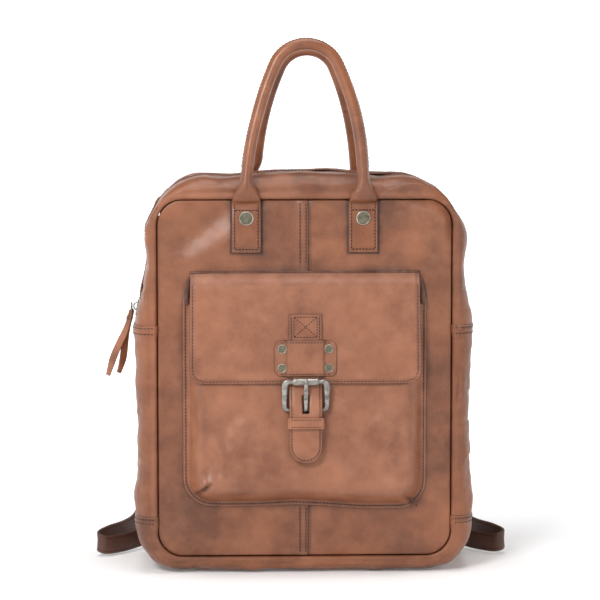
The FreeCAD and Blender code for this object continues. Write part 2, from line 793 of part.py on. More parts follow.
def make_parts():
    parts = make_body_panels()
    parts.update(make_zip_line())
    parts.update(make_inside())
    parts.update(make_zip_pull())
    parts.update(make_pocket())
    parts.update(make_flap())
    closure, closure_holes = make_closure()
    parts.update(closure)
    parts["pocket_flap"] = parts["pocket_flap"].cut(closure_holes)
    handles, tab_holes = make_handles()
    parts.update(handles)
    for name in ("front_panel_left", "front_panel_right", "back_panel"):
        parts[name] = parts[name].cut(tab_holes)
    parts.update(make_straps())
    return parts


if __name__ == "__main__":
    os.makedirs("parts", exist_ok=True)
    for name, shape in make_parts().items():
        shape.exportStep("parts/" + name + ".step")
        print(name, "solids", len(shape.Solids), "valid", shape.isValid(), "mm3", round(shape.Volume, 1))
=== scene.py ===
"""Looks of the leather backpack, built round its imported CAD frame.

Millimetres unless a name says metres, +Z up, front towards -Y. Angles are in degrees.
Every sheet of leather is a grid of points with real thickness, and stitches are real threads.
"""
import json
import math
import bmesh
import bpy
import numpy as np
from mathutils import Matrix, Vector


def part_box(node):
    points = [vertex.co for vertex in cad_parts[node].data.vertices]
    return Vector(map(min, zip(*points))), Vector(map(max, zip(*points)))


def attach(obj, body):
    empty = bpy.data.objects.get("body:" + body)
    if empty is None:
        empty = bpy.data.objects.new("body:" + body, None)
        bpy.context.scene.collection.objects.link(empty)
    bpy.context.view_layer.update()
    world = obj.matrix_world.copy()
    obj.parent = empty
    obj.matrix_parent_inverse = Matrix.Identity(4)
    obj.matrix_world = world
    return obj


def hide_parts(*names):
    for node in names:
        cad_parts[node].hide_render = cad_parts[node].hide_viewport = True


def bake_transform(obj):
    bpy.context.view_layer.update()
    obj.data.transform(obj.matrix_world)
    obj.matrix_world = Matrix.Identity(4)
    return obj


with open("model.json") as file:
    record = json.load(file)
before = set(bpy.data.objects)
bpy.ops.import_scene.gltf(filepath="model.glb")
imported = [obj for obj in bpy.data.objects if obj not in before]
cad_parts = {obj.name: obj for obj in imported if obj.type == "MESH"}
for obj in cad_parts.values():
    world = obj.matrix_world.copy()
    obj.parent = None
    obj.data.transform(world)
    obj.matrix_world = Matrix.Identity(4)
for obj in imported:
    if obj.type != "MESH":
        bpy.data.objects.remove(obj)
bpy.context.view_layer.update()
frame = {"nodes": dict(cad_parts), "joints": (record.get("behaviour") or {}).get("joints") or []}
MM = 0.001


# ---- places, all read from the CAD nodes ----
def low(node):
    return np.array(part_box(node)[0]) / MM


def high(node):
    return np.array(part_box(node)[1]) / MM


def middle(node):
    return (low(node) + high(node)) / 2


def joint_place(name):
    joint = next(j for j in frame["joints"] if j["name"] == name)
    return np.array(joint["pos_m"]) / MM


side_x = high("side_panel_right")[0]
front_y = low("front_panel_right")[1]
back_y = high("back_panel")[1]
body_top = high("top_gusset_front")[2]
base_hem = high("bottom_gusset")[2]
side_hem = high("side_panel_right")[2]
panel_half = high("front_panel_right")[0]
panel_low = low("front_panel_right")[2]
panel_high = high("front_panel_right")[2]
mouth_z = high("pocket_body")[2]
pocket_low = low("pocket_body")[2]
pocket_half = high("pocket_body")[0]
flap_hinge = joint_place("flap_hinge")
flap_half = high("pocket_flap")[0]
leather = 1.8


# ---- numbers ----
def smooth(a, b, t):
    """0 below a, 1 above b and a smooth step between."""
    u = np.clip((np.asarray(t, float) - a) / (b - a), 0, 1)
    return u * u * (3 - 2 * u)


def unit(v):
    v = np.asarray(v, float)
    return v / np.maximum(np.linalg.norm(v, axis=-1, keepdims=True), 1e-9)


def bump_at(t, at, width):
    return np.exp(-((np.asarray(t, float) - at) / width) ** 2)


def wobble(points, size, seed, waves=9):
    """Smooth random field over points, about -1 to 1, with features of about the given size."""
    rng = np.random.default_rng(seed)
    ways = unit(rng.normal(size=(waves, 3)))
    rates = 2 * math.pi / size * rng.uniform(0.55, 1.5, waves)
    starts = rng.uniform(0, 2 * math.pi, waves)
    return np.sin((points @ ways.T) * rates + starts).sum(-1) / math.sqrt(waves * 2)


def flat_field(x, z, layer=0):
    """Points for a wobble over a face; each layer gives another pattern."""
    return np.stack([x, z, 0 * x + layer], -1)


def soft_cap(value, top, blur=0.7):
    """Keep a value under a ceiling without a hard edge."""
    return top - np.logaddexp(0, (top - value) / blur) * blur


def fold(x, z, start, end, width, depth, bow=0.0):
    """A soft valley (depth below 0) or ridge from start to end, bowed sideways by bow."""
    start, end = np.array(start, float), np.array(end, float)
    along = end - start
    length = np.hypot(*along)
    along = along / length
    dx, dz = x - start[0], z - start[1]
    t = (dx * along[0] + dz * along[1]) / length
    off = dz * along[0] - dx * along[1] - bow * 4 * np.clip(t, 0, 1) * (1 - np.clip(t, 0, 1))
    ends = smooth(-0.12, 0.25, t) * smooth(1.12, 0.75, t)
    shoulder = 0.45 * np.exp(-((off - 1.7 * width) / width) ** 2)
    return depth * ends * (np.exp(-(off / width) ** 2) - shoulder)


def folded(swell, x, z, creases, wider=1.0, deeper=1.0):
    """Add creases, each (start, end, width, depth, bow), to a swell."""
    for start, end, width, depth, bow in creases:
        swell = swell + fold(x, z, start, end, wider * width, deeper * depth, bow)
    return swell


def round_box_depth(x, z, half, low_z, high_z, radius):
    """How far a point is inside a rounded box that is centred on x = 0."""
    qx = np.abs(x) - (half - radius)
    qz = np.abs(z - (low_z + high_z) / 2) - ((high_z - low_z) / 2 - radius)
    outside = np.hypot(np.maximum(qx, 0), np.maximum(qz, 0))
    return radius - outside - np.minimum(np.maximum(qx, qz), 0)


def corner_inset(z, low_z, high_z, low_radius, high_radius):
    """How much narrower a row at z is where the sheet's lower or upper corners are rounded."""
    total = np.zeros_like(z)
    for edge, radius, sign in ((low_z, low_radius, 1), (high_z, high_radius, -1)):
        if radius:
            rise = np.clip(radius - sign * (z - edge), 0, radius)
            total += radius - np.sqrt(np.maximum(radius ** 2 - rise ** 2, 0))
    return total


def spaced(a, b, step, near_a=(), near_b=()):
    """Rising places from a to b at about step, with extra ones at set distances from the two ends."""
    inner_a = a + (max(near_a) if near_a else 0)
    inner_b = b - (max(near_b) if near_b else 0)
    count = max(2, int(round((inner_b - inner_a) / step)) + 1)
    values = [a, b] + [a + d for d in near_a] + [b - d for d in near_b]
    return np.unique(np.round(np.concatenate([values, np.linspace(inner_a, inner_b, count)]), 4))


FINE = (0.5, 1.2, 2.2, 3.6, 5.4)


def shares(half, step, near=FINE):
    """Places from -1 to 1 across a sheet of the given half width, finer near both edges."""
    ends = tuple(distance / half for distance in near)
    return spaced(-1, 1, step / half, ends, ends)


SIDE_NAMES = {-1: "left", 1: "right"}
BAG_MIDDLE = np.array([0.0, 0.0, 190.0])


def smooth_path(points, count):
    """Catmull-Rom curve through points, as count points evenly spaced along it."""
    p = np.array(points, float)
    p = np.vstack([2 * p[0] - p[1], p, 2 * p[-1] - p[-2]])
    out = []
    for i in range(1, len(p) - 2):
        t = np.linspace(0, 1, 24, endpoint=False)[:, None]
        a, b, c, d = p[i - 1], p[i], p[i + 1], p[i + 2]
        out.append(0.5 * (2 * b + (c - a) * t + (2 * a - 5 * b + 4 * c - d) * t ** 2
                          + (3 * b - a - 3 * c + d) * t ** 3))
    out.append(p[-2][None])
    return evenly(np.vstack(out), count)


def lengths(path):
    return np.concatenate([[0], np.cumsum(np.linalg.norm(np.diff(path, axis=0), axis=1))])


def evenly(path, count):
    s = lengths(path)
    at = np.linspace(0, s[-1], count)
    return np.stack([np.interp(at, s, path[:, k]) for k in range(path.shape[1])], -1)


# ---- meshes ----
def grid_normals(points):
    return unit(np.cross(np.gradient(points, axis=1), np.gradient(points, axis=0)))


def ring_quads(number):
    """Faces between the rows of a grid of vertex numbers whose rows are closed rings."""
    a, b = number[:-1], number[1:]
    return np.stack([a, np.roll(a, -1, 1), np.roll(b, -1, 1), b], -1).reshape(-1, 4)


class Piece:
    """Collects the sheets, tubes and threads of one named piece."""

    def __init__(self):
        self.verts, self.faces, self.shade, self.count = [], [], [], 0

    def add(self, verts, faces, shade=0.0):
        verts = np.asarray(verts, float).reshape(-1, 3)
        self.verts.append(verts)
        self.shade.append(np.broadcast_to(np.asarray(shade, float).ravel(), len(verts))
                          if np.size(shade) in (1, len(verts)) else np.zeros(len(verts)))
        for face in faces:
            self.faces += (np.asarray(face) + self.count).tolist()
        self.count += len(verts)

    def sheet(self, points, thickness, shade=0.0, keep=None, edge_shade=0.75, soft=0.32):
        """Sheet whose outer face is a grid of points, with its inner face thickness below it."""
        rows, cols = points.shape[:2]
        shade = np.broadcast_to(np.asarray(shade, float), (rows, cols))
        if (grid_normals(points) * (points - BAG_MIDDLE)).sum(-1).mean() < 0:
            points, shade = points[:, ::-1], shade[:, ::-1]
            keep = None if keep is None else keep.reshape(rows - 1, cols - 1)[:, ::-1].ravel()
        normals = grid_normals(points)
        number = np.arange(rows * cols).reshape(rows, cols)
        quads = np.stack([number[:-1, :-1], number[:-1, 1:], number[1:, 1:], number[1:, :-1]], -1)
        quads = quads.reshape(-1, 4)
        if keep is not None:
            quads = quads[keep]
        starts = quads.ravel()
        ends = np.roll(quads, -1, axis=1).ravel()
        total = rows * cols
        one_way = ~np.isin(starts * total + ends, ends * total + starts)
        rim_a, rim_b = starts[one_way], ends[one_way]
        on_rim = np.zeros(total, bool)
        on_rim[rim_a] = True
        shade = shade.ravel().copy()
        face, down = points.reshape(-1, 3), normals.reshape(-1, 3)
        outer = face - down * (on_rim * soft * thickness)[:, None]
        inner = face - down * (thickness * (1 - on_rim * soft))[:, None]
        shade[on_rim] = np.maximum(shade[on_rim], edge_shade)
        rim = np.stack([rim_b, rim_a, rim_a + total, rim_b + total], -1)
        used = np.zeros(total * 2, bool)
        used[quads.ravel()] = True
        used[total:] = used[:total]
        renumber = np.cumsum(used) - 1
        faces = [renumber[quads], renumber[quads[:, ::-1] + total], renumber[rim]]
        self.add(np.vstack([outer, inner])[used], faces, np.concatenate([shade, shade])[used])
        return normals

    def tube(self, path, across, wide, thick, sides=16, power=2.0, closed=False, shade=0.0, cap=0.6):
        """Sweep of a superellipse: wide is its half size along across, thick the one square to it."""
        path = np.asarray(path, float)
        count = len(path)
        wide = np.broadcast_to(wide, count).astype(float)
        thick = np.broadcast_to(thick, count).astype(float)
        if closed:
            along = unit(np.roll(path, -1, 0) - np.roll(path, 1, 0))
        else:
            along = unit(np.gradient(path, axis=0))
        across = np.broadcast_to(np.asarray(across, float), (count, 3))
        across = unit(across - along * (across * along).sum(-1, keepdims=True))
        up = np.cross(across, along)
        shade = np.broadcast_to(np.asarray(shade, float), count)
        if not closed:
            turn = np.radians([80, 55, 30])
            reach = np.minimum(wide, thick)[[0, -1]] * cap
            first = [(path[0] - along[0] * reach[0] * math.sin(a), 1 - cap * (1 - math.cos(a)))
                     for a in turn]
            last = [(path[-1] + along[-1] * reach[1] * math.sin(a), 1 - cap * (1 - math.cos(a)))
                    for a in turn[::-1]]
            scale = np.array([f for _, f in first] + [1.0] * count + [f for _, f in last])
            path = np.vstack([[p for p, _ in first], path, [p for p, _ in last]])
            pick = np.r_[[0] * 3, np.arange(count), [count - 1] * 3]
            across, up, shade = across[pick], up[pick], shade[pick]
            wide, thick = wide[pick] * scale, thick[pick] * scale
        angle = np.arange(sides) * 2 * math.pi / sides
        power = np.broadcast_to(np.asarray(power, float), count)
        power = (power if closed else power[pick])[:, None]
        ring_x = np.sign(np.cos(angle)) * np.abs(np.cos(angle)) ** (2 / power)
        ring_y = np.sign(np.sin(angle)) * np.abs(np.sin(angle)) ** (2 / power)
        verts = (path[:, None] + across[:, None] * (wide[:, None] * ring_x)[..., None]
                 + up[:, None] * (thick[:, None] * ring_y)[..., None])
        rows = len(path)
        number = np.arange(rows * sides).reshape(rows, sides)
        a, b = (number, np.roll(number, -1, 0)) if closed else (number[:-1], number[1:])
        faces = [np.stack([a, np.roll(a, -1, 1), np.roll(b, -1, 1), b], -1).reshape(-1, 4)]
        if not closed:
            faces += [number[:1, ::-1], number[-1:]]
        self.add(verts, faces, np.repeat(shade, sides))
        return path, across, up

    def lathe(self, profile, centre, axis, sides=32, shade=0.0):
        """Solid of revolution from (radius, height) points; it ends on its axis at both ends."""
        axis = unit(np.array(axis, float))
        side = unit(np.cross(axis, [0.31, 0.2, 0.93] if abs(axis[2]) < 0.9 else [1.0, 0, 0]))
        other = np.cross(axis, side)
        angle = np.arange(sides) * 2 * math.pi / sides
        around = np.cos(angle)[:, None] * side + np.sin(angle)[:, None] * other
        rings = np.array([np.array(centre) + axis * h + around * max(r, 0.02) for r, h in profile])
        number = np.arange(len(profile) * sides).reshape(-1, sides)
        faces = [ring_quads(number), number[:1, ::-1], number[-1:]]
        self.add(rings, faces, np.repeat(np.broadcast_to(shade, len(profile)), sides))

    def stitches(self, path, out, pitch=3.3, share=0.72, radius=0.42, rise=0.12, lean=0.0):
        """A row of separate threads along path; out is the surface's outward direction there."""
        path = np.asarray(path, float)
        s = lengths(path)
        count = int(s[-1] / pitch)
        if count < 1:
            return
        at = (np.arange(count) + 0.5) * s[-1] / count
        take = lambda values: np.stack([np.interp(at, s, values[:, k]) for k in range(3)], -1)
        centre = take(path)
        up = unit(take(np.broadcast_to(np.asarray(out, float), path.shape)))
        along = unit(take(np.gradient(path, s, axis=0) if len(path) > 2
                          else np.repeat(np.diff(path, axis=0), 2, 0)))
        along = unit(along + np.cross(up, along) * lean)
        self.pegs(centre, along, up, pitch * share / 2, radius, rise)

    def pegs(self, centre, along, up, half, radius, rise=0.0, bow=0.45):
        """Small rounded rods, one at each centre: threads and zip teeth."""
        count = len(centre)
        side = np.cross(up, along)
        t = np.array([-1, -0.72, 0, 0.72, 1.0])
        size = np.array([0.35, 0.85, 1.0, 0.85, 0.35]) * radius
        lift = rise + np.array([-1, -0.1, 0.3, -0.1, -1]) * radius * bow
        angle = np.arange(6) * math.pi / 3
        verts = (centre[:, None, None] + along[:, None, None] * (t * half)[None, :, None, None]
                 + side[:, None, None] * (size[:, None] * np.cos(angle))[None, ..., None]
                 + up[:, None, None] * (size[:, None] * np.sin(angle) + lift[:, None])[None, ..., None])
        ring = np.arange(30).reshape(5, 6)
        steps = (np.arange(count) * 30)[:, None, None]
        ends = [(end[None] + steps).reshape(-1, 6) for end in (ring[:1, ::-1], ring[-1:])]
        self.add(verts, [(ring_quads(ring)[None] + steps).reshape(-1, 4)] + ends)

    def finish(self, name, body, material, slot, *replaced):
        mesh = bpy.data.meshes.new(name)
        mesh.from_pydata((np.vstack(self.verts) * MM).tolist(), [], self.faces)
        shade = mesh.attributes.new("shade", "FLOAT", "POINT")
        shade.data.foreach_set("value", np.concatenate(self.shade).astype(np.float32))
        form = bmesh.new()
        form.from_mesh(mesh)
        bmesh.ops.recalc_face_normals(form, faces=form.faces)
        form.to_mesh(mesh)
        form.free()
        mesh.polygons.foreach_set("use_smooth", [True] * len(mesh.polygons))
        mesh.materials.append(material)
        obj = bpy.data.objects.new(name, mesh)
        bpy.context.scene.collection.objects.link(obj)
        if body:
            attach(obj, body)
        if replaced:
            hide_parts(*replaced)
        return obj


# ---- materials ----
class Paint:
    """Short way to write a node material."""

    def __init__(self, name, **shader):
        self.material = bpy.data.materials.new(name)
        self.material.use_nodes = True
        self.nodes = self.material.node_tree.nodes
        self.links = self.material.node_tree.links
        self.shader = self.nodes["Principled BSDF"]
        for socket, value in shader.items():
            self.shader.inputs[socket.replace("_", " ")].default_value = value
        self.place = self.nodes.new("ShaderNodeTexCoord").outputs["Object"]

    def link(self, source, target):
        self.links.new(source, target)

    def noise(self, scale, detail=4.0, rough=0.55, warp=0.0):
        node = self.nodes.new("ShaderNodeTexNoise")
        node.inputs["Scale"].default_value = scale
        node.inputs["Detail"].default_value = detail
        node.inputs["Roughness"].default_value = rough
        node.inputs["Distortion"].default_value = warp
        self.link(self.place, node.inputs["Vector"])
        return node.outputs["Fac"]

    def cells(self, scale, feature="F1"):
        node = self.nodes.new("ShaderNodeTexVoronoi")
        node.feature = feature
        node.inputs["Scale"].default_value = scale
        self.link(self.place, node.inputs["Vector"])
        return node.outputs["Distance"]

    def sum(self, kind, a, b=0.0):
        """A maths node of the given kind."""
        node = self.nodes.new("ShaderNodeMath")
        node.operation = kind
        for socket, value in zip(node.inputs, (a, b)):
            if isinstance(value, (int, float)):
                socket.default_value = value
            else:
                self.link(value, socket)
        return node.outputs[0]

    def ramp(self, source, low_value, high_value, low_out=0.0, high_out=1.0):
        node = self.nodes.new("ShaderNodeMapRange")
        self.link(source, node.inputs["Value"])
        for socket, value in zip(("From Min", "From Max", "To Min", "To Max"),
                                 (low_value, high_value, low_out, high_out)):
            node.inputs[socket].default_value = value
        return node.outputs["Result"]

    def mix(self, share, a, b):
        node = self.nodes.new("ShaderNodeMix")
        node.data_type = "RGBA"
        self.link(share, node.inputs[0])
        for index, value in ((6, a), (7, b)):
            if isinstance(value, tuple):
                node.inputs[index].default_value = (*value, 1.0)
            else:
                self.link(value, node.inputs[index])
        return node.outputs[2]

    def attribute(self, name="shade"):
        node = self.nodes.new("ShaderNodeAttribute")
        node.attribute_name = name
        return node.outputs["Fac"]

    def bump(self, height, distance, strength=1.0):
        node = self.nodes.new("ShaderNodeBump")
        node.inputs["Strength"].default_value = strength
        node.inputs["Distance"].default_value = distance
        self.link(height, node.inputs["Height"])
        self.link(node.outputs["Normal"], self.shader.inputs["Normal"])

    def colour(self, source):
        self.link(source, self.shader.inputs["Base Color"])

    def rough(self, source):
        self.link(source, self.shader.inputs["Roughness"])


def leather_paint(name, base, dark, light, edge, rough=0.5, grain=1.0):
    """Waxed leather: mottled tone and fine pebbled grain; its shade attribute darkens it towards the edge
    colour, for burnished seams and edges and for painted shade in grooves, folds and beside raised parts,
    and below zero lightens it, for rubbed wear and painted highlights on ridges.
    """
    paint = Paint(name, Specular_IOR_Level=0.42, Coat_Weight=0.2, Coat_Roughness=0.3)
    clouds = paint.ramp(paint.noise(11.0, 5.0, 0.6, warp=0.6), 0.36, 0.66)
    blotch = paint.ramp(paint.noise(55.0, 4.0, 0.6), 0.38, 0.68)
    tone = paint.mix(clouds, dark, base)
    tone = paint.mix(paint.sum("MULTIPLY", blotch, 0.42), tone, light)
    speck = paint.ramp(paint.noise(900.0, 2.0, 0.6), 0.55, 0.8, 0.0, 0.22)
    tone = paint.mix(speck, tone, dark)
    shade = paint.attribute()
    ragged = paint.sum("MULTIPLY", paint.ramp(paint.noise(140.0, 3.0), 0.3, 0.7, 0.65, 1.25), shade)
    # real burnish and painted shade: the shade attribute darkens the tone towards the edge colour
    burnish_and_shade = paint.ramp(ragged, 0.0, 1.0)
    tone = paint.mix(burnish_and_shade, tone, edge)
    # rubbed wear and painted highlight: a shade attribute below zero lightens the tone
    worn_and_highlight = paint.ramp(shade, 0.0, -1.0)
    paint.colour(paint.mix(paint.sum("MULTIPLY", worn_and_highlight, 0.6), tone, light))
    paint.rough(paint.ramp(paint.noise(70.0, 4.0), 0.3, 0.75, rough - 0.07, rough + 0.1))
    pores = paint.cells(760.0, "DISTANCE_TO_EDGE")
    pebble = paint.ramp(pores, 0.0, 0.16)
    fine = paint.noise(420.0, 6.0, 0.65)
    crease = paint.ramp(paint.noise(75.0, 5.0, 0.6, warp=1.2), 0.25, 0.75)
    height = paint.sum("ADD", paint.sum("MULTIPLY", pebble, 0.35), paint.sum("MULTIPLY", fine, 0.75))
    height = paint.sum("ADD", height, paint.sum("MULTIPLY", crease, 1.5))
    paint.bump(height, 0.00026 * grain, 0.8)
    return paint.material


def metal_paint(name, bright, dull, rough, scale=160.0, bump=0.00006):
    """Antique plated metal: bright where it rubs, dull and pitted elsewhere."""
    paint = Paint(name, Metallic=1.0)
    patina = paint.ramp(paint.noise(scale, 6.0, 0.65, warp=0.8), 0.36, 0.66)
    tone = paint.mix(patina, bright, dull)
    paint.colour(paint.mix(paint.ramp(paint.attribute(), 0.0, 1.0), tone, dull))
    paint.rough(paint.ramp(patina, 0.0, 1.0, rough, rough + 0.22))
    paint.bump(paint.noise(scale * 5, 4.0, 0.6), bump, 0.6)
    return paint.material


def thread_paint(name, tone, dark):
    """Twisted waxed thread."""
    paint = Paint(name, Specular_IOR_Level=0.3)
    twist = paint.noise(1800.0, 2.0, 0.5)
    paint.colour(paint.mix(paint.ramp(twist, 0.3, 0.7), dark, tone))
    paint.rough(paint.ramp(twist, 0.2, 0.8, 0.5, 0.75))
    paint.bump(twist, 0.00008, 0.6)
    return paint.material


def weave_paint(name, tone, dark, scale, rough=0.85):
    """Plain woven cloth: two sets of yarns crossing."""
    paint = Paint(name, Sheen_Weight=0.15, Sheen_Roughness=0.6, Specular_IOR_Level=0.25)
    split = paint.nodes.new("ShaderNodeSeparateXYZ")
    paint.link(paint.place, split.inputs[0])
    waves = [paint.sum("SINE", paint.sum("MULTIPLY", split.outputs[k], scale)) for k in (0, 1, 2)]
    cross = paint.sum("MULTIPLY", paint.sum("ADD", waves[0], waves[2]), waves[1])
    yarn = paint.ramp(cross, -1.6, 1.6)
    fuzz = paint.noise(scale * 0.6, 3.0)
    paint.colour(paint.mix(paint.sum("MULTIPLY", yarn, fuzz), dark, tone))
    paint.rough(paint.ramp(fuzz, 0.2, 0.8, rough - 0.1, rough + 0.1))
    paint.bump(yarn, 0.00025, 0.8)
    return paint.material


# colours are linear RGB
TAN, TAN_DARK, TAN_LIGHT = (0.228, 0.074, 0.029), (0.122, 0.037, 0.014), (0.34, 0.13, 0.06)
FLAP_TAN, FLAP_DARK, FLAP_LIGHT = (0.29, 0.107, 0.051), (0.185, 0.061, 0.027), (0.4, 0.166, 0.088)
EDGE, DEEP = (0.045, 0.016, 0.009), (0.075, 0.028, 0.016)
body_leather = leather_paint("body_leather", TAN, TAN_DARK, TAN_LIGHT, EDGE, 0.46, 0.8)
flap_leather = leather_paint("flap_leather", FLAP_TAN, FLAP_DARK, FLAP_LIGHT, EDGE, 0.44, 0.7)
handle_leather = leather_paint("handle_leather", TAN, TAN_DARK, TAN_LIGHT, EDGE, 0.33, 0.5)
trim_leather = leather_paint("trim_leather", FLAP_TAN, FLAP_DARK, FLAP_LIGHT, EDGE, 0.46, 0.6)
STRAP_BROWN, STRAP_LIGHT = (0.085, 0.031, 0.017), (0.13, 0.05, 0.028)
strap_leather = leather_paint("strap_leather", STRAP_BROWN, EDGE, STRAP_LIGHT, EDGE, 0.52)
edge_leather = leather_paint("edge_leather", DEEP, EDGE, (0.17, 0.07, 0.04), EDGE, 0.5, 0.5)
pewter = metal_paint("pewter", (0.42, 0.4, 0.37), (0.16, 0.145, 0.13), 0.3)
nickel = metal_paint("nickel", (0.62, 0.58, 0.5), (0.24, 0.215, 0.16), 0.24)
antique = metal_paint("antique", (0.21, 0.195, 0.14), (0.11, 0.1, 0.068), 0.36)
zip_metal = metal_paint("zip_metal", (0.5, 0.47, 0.42), (0.2, 0.18, 0.16), 0.28, 300.0)
thread = thread_paint("thread", (0.03, 0.013, 0.008), (0.013, 0.006, 0.004))
zip_cloth = weave_paint("zip_cloth", (0.075, 0.042, 0.03), (0.03, 0.017, 0.012), 5200.0)
lining_cloth = weave_paint("lining_cloth", (0.2, 0.15, 0.11), (0.1, 0.075, 0.055), 4200.0)
core_rope = weave_paint("core_rope", (0.45, 0.4, 0.32), (0.25, 0.21, 0.16), 2600.0)
board = leather_paint("board", (0.2, 0.15, 0.11), (0.13, 0.1, 0.07), (0.26, 0.2, 0.15), DEEP, 0.8)


# ---- the bag's outline, with the slump of its soft top ----
class Loop:
    """Closed outline in the XZ plane, read by distance along it from the middle of the base."""

    def __init__(self, corners):
        dense = [np.array([[0.0, corners[0][1]]])]
        count = len(corners)
        for i, (x, z, radius) in enumerate(corners):
            here = np.array([x, z], float)
            before = unit(np.array(corners[i - 1][:2]) - here)
            after = unit(np.array(corners[(i + 1) % count][:2]) - here)
            half = math.acos(np.clip(before @ after, -1, 1)) / 2
            centre = here + unit(before + after) * radius / math.sin(half)
            first = here + before * radius / math.tan(half) - centre
            last = here + after * radius / math.tan(half) - centre
            start = math.atan2(first[1], first[0])
            sweep = (math.atan2(last[1], last[0]) - start + math.pi) % (2 * math.pi) - math.pi
            angle = start + sweep * np.linspace(0, 1, 24)
            dense.append(centre + radius * np.stack([np.cos(angle), np.sin(angle)], -1))
        dense.append(dense[0])
        path = np.vstack(dense)
        self.path = evenly(path, 2400)
        self.s = lengths(self.path)
        self.length = self.s[-1]

    def at(self, s):
        s = np.mod(s, self.length)
        return np.stack([np.interp(s, self.s, self.path[:, k]) for k in (0, 1)], -1)

    def out(self, s):
        along = unit(self.at(np.asarray(s) + 1.5) - self.at(np.asarray(s) - 1.5))
        return np.stack([along[..., 1], -along[..., 0]], -1)

    def where(self, z, side):
        """How far along the outline crosses height z on its right (1) or left (-1) side."""
        half = self.s < self.length / 2
        pick = half if side > 0 else ~half
        s, height = self.s[pick], self.path[pick, 1]
        order = np.argsort(height)
        return float(np.interp(z, height[order], s[order]))


def mirrored_corners(right):
    return right + [(-x, z, radius) for x, z, radius in reversed(right)]


FOOT = 55.2             # handle feet on either side of the handle's middle
POCKET_CORNER = 27.0    # radius of the pocket's lower corners
PANEL_CORNER = 24.0
LOW_CORNER, TOP_CORNER = 44.0, 60.0
WAIST = 11.0            # how far the sides come in above the hip
waist_z, hip_z = side_hem + 59, side_hem + 3
outline = Loop(mirrored_corners([(side_x, 0.0, LOW_CORNER), (side_x, hip_z, 30.0),
                                 (side_x - WAIST, waist_z, 60.0), (side_x - 1.5, body_top, TOP_CORNER)]))
seam = Loop(mirrored_corners([(panel_half, panel_low, PANEL_CORNER),
                              (panel_half, panel_high, PANEL_CORNER)]))


def panel_depth(x, z):
    """How far inside the sewn edge of the front or back panel."""
    return round_box_depth(x, z, panel_half, panel_low, panel_high, PANEL_CORNER)


FRONT_CREASES = (
    ((-66, 356), (-128, 310), 10.0, -2.4, 3), ((-74, 328), (-124, 296), 11.0, 0.8, 3),
    ((-128, 300), (-116, 262), 7.0, -1.3, 2), ((-74, 303), (-24, 295), 7.0, -1.3, -3),
    ((18, 300), (44, 290), 8.0, -1.0, 2), ((84, 352), (112, 326), 9.0, -1.7, -4),
    ((114, 330), (130, 300), 7.0, -1.8, 3), ((126, 350), (136, 318), 5.0, 1.5, 2),
    ((122, 262), (132, 210), 6.0, -1.2, 0), ((-130, 200), (-122, 120), 6.0, -1.3, -3),
    ((-136, 90), (-118, 40), 6.0, -1.3, 3), ((124, 120), (134, 60), 6.0, -1.3, -2),
    ((-96, 44), (-20, 38), 7.0, -1.1, 3), ((20, 36), (104, 46), 7.0, -1.2, -3))
REAR_CREASES = (
    ((-110, 320), (-70, 200), 9.0, -1.4, 5), ((104, 300), (80, 170), 9.0, -1.3, -5),
    ((-60, 90), (30, 76), 9.0, -1.4, 4), ((40, 150), (110, 120), 8.0, -1.2, 3))


def slump(points):
    """How far the soft outline moves outwards (below 0: inwards) at these (x, z) points."""
    x, z = points[..., 0], points[..., 1]
    upper = smooth(320, 352, z)
    out = -upper * (1.2 + 3.6 * smooth(20, 75, np.abs(x)))
    out += np.where(x > 0, 3.6, -0.6) * bump_at(z, 318, 26)
    out += -3.6 * bump_at(z, 150, 26) * smooth(0, 40, np.abs(x))
    out += -1.6 * bump_at(z, 95, 16) * smooth(0, 40, np.abs(x))
    out += np.where(x > 0, -1.4, 0.3) * bump_at(z, 205, 18)
    return out


def rim_points(s):
    """Outline points with the slump, their outward directions and the matching seam points."""
    plain = outline.at(s)
    out = outline.out(s)
    moved = plain + out * slump(plain)[..., None]
    near = np.array([seam.path[np.argmin(((seam.path - point) ** 2).sum(-1))] for point in plain])
    return moved, out, near


# ---- shape of the front and back faces ----
def front_swell(x, z):
    """How far the front face stands out of its plane: soft cushioning, folds and dents."""
    inside = panel_depth(x, z)
    points = flat_field(x, z)
    swell = 1.5 * smooth(0, 26, inside) - 0.6 * smooth(20, 90, inside)
    swell += 1.5 * wobble(points, 120, 3) + 0.75 * wobble(points, 46, 4) + 0.16 * wobble(points, 17, 5)
    swell = folded(swell, x, z, FRONT_CREASES, 1.35, 1.35)
    on_pocket = round_box_depth(x, z, pocket_half, pocket_low, mouth_z, POCKET_CORNER)
    calm = 1 - 0.75 * smooth(6, -8, -on_pocket)
    return swell * smooth(0, 9, inside) * calm


def front_surface(x, z, rise=0.0):
    """Points on the front face, rise outside it."""
    x, z = np.broadcast_arrays(np.asarray(x, float), np.asarray(z, float))
    return np.stack([x, front_y - front_swell(x, z) - rise, z], -1)


def rear_swell(x, z):
    inside = panel_depth(x, z)
    points = flat_field(x, z, 500)
    swell = 1.6 * smooth(0, 26, inside) + 0.8 * wobble(points, 110, 13) + 0.3 * wobble(points, 40, 14)
    swell = folded(swell, x, z, REAR_CREASES)
    return np.minimum(swell * smooth(0, 9, inside), 1.4)


def face_rows(low_z, high_z, corner, half):
    """Heights of a face's rows of points, and its half width at each."""
    rows = spaced(low_z, high_z, 2.2, FINE + (8.0, 11.0), FINE + (8.0, 11.0))
    return rows, half - corner_inset(rows, low_z, high_z, corner, corner)


def seam_dip(inside, depth=1.1, reach=1.0):
    """The turned seam: a sheet dives under at its sewn edge."""
    return -depth * np.exp(-np.maximum(inside, 0) / reach)


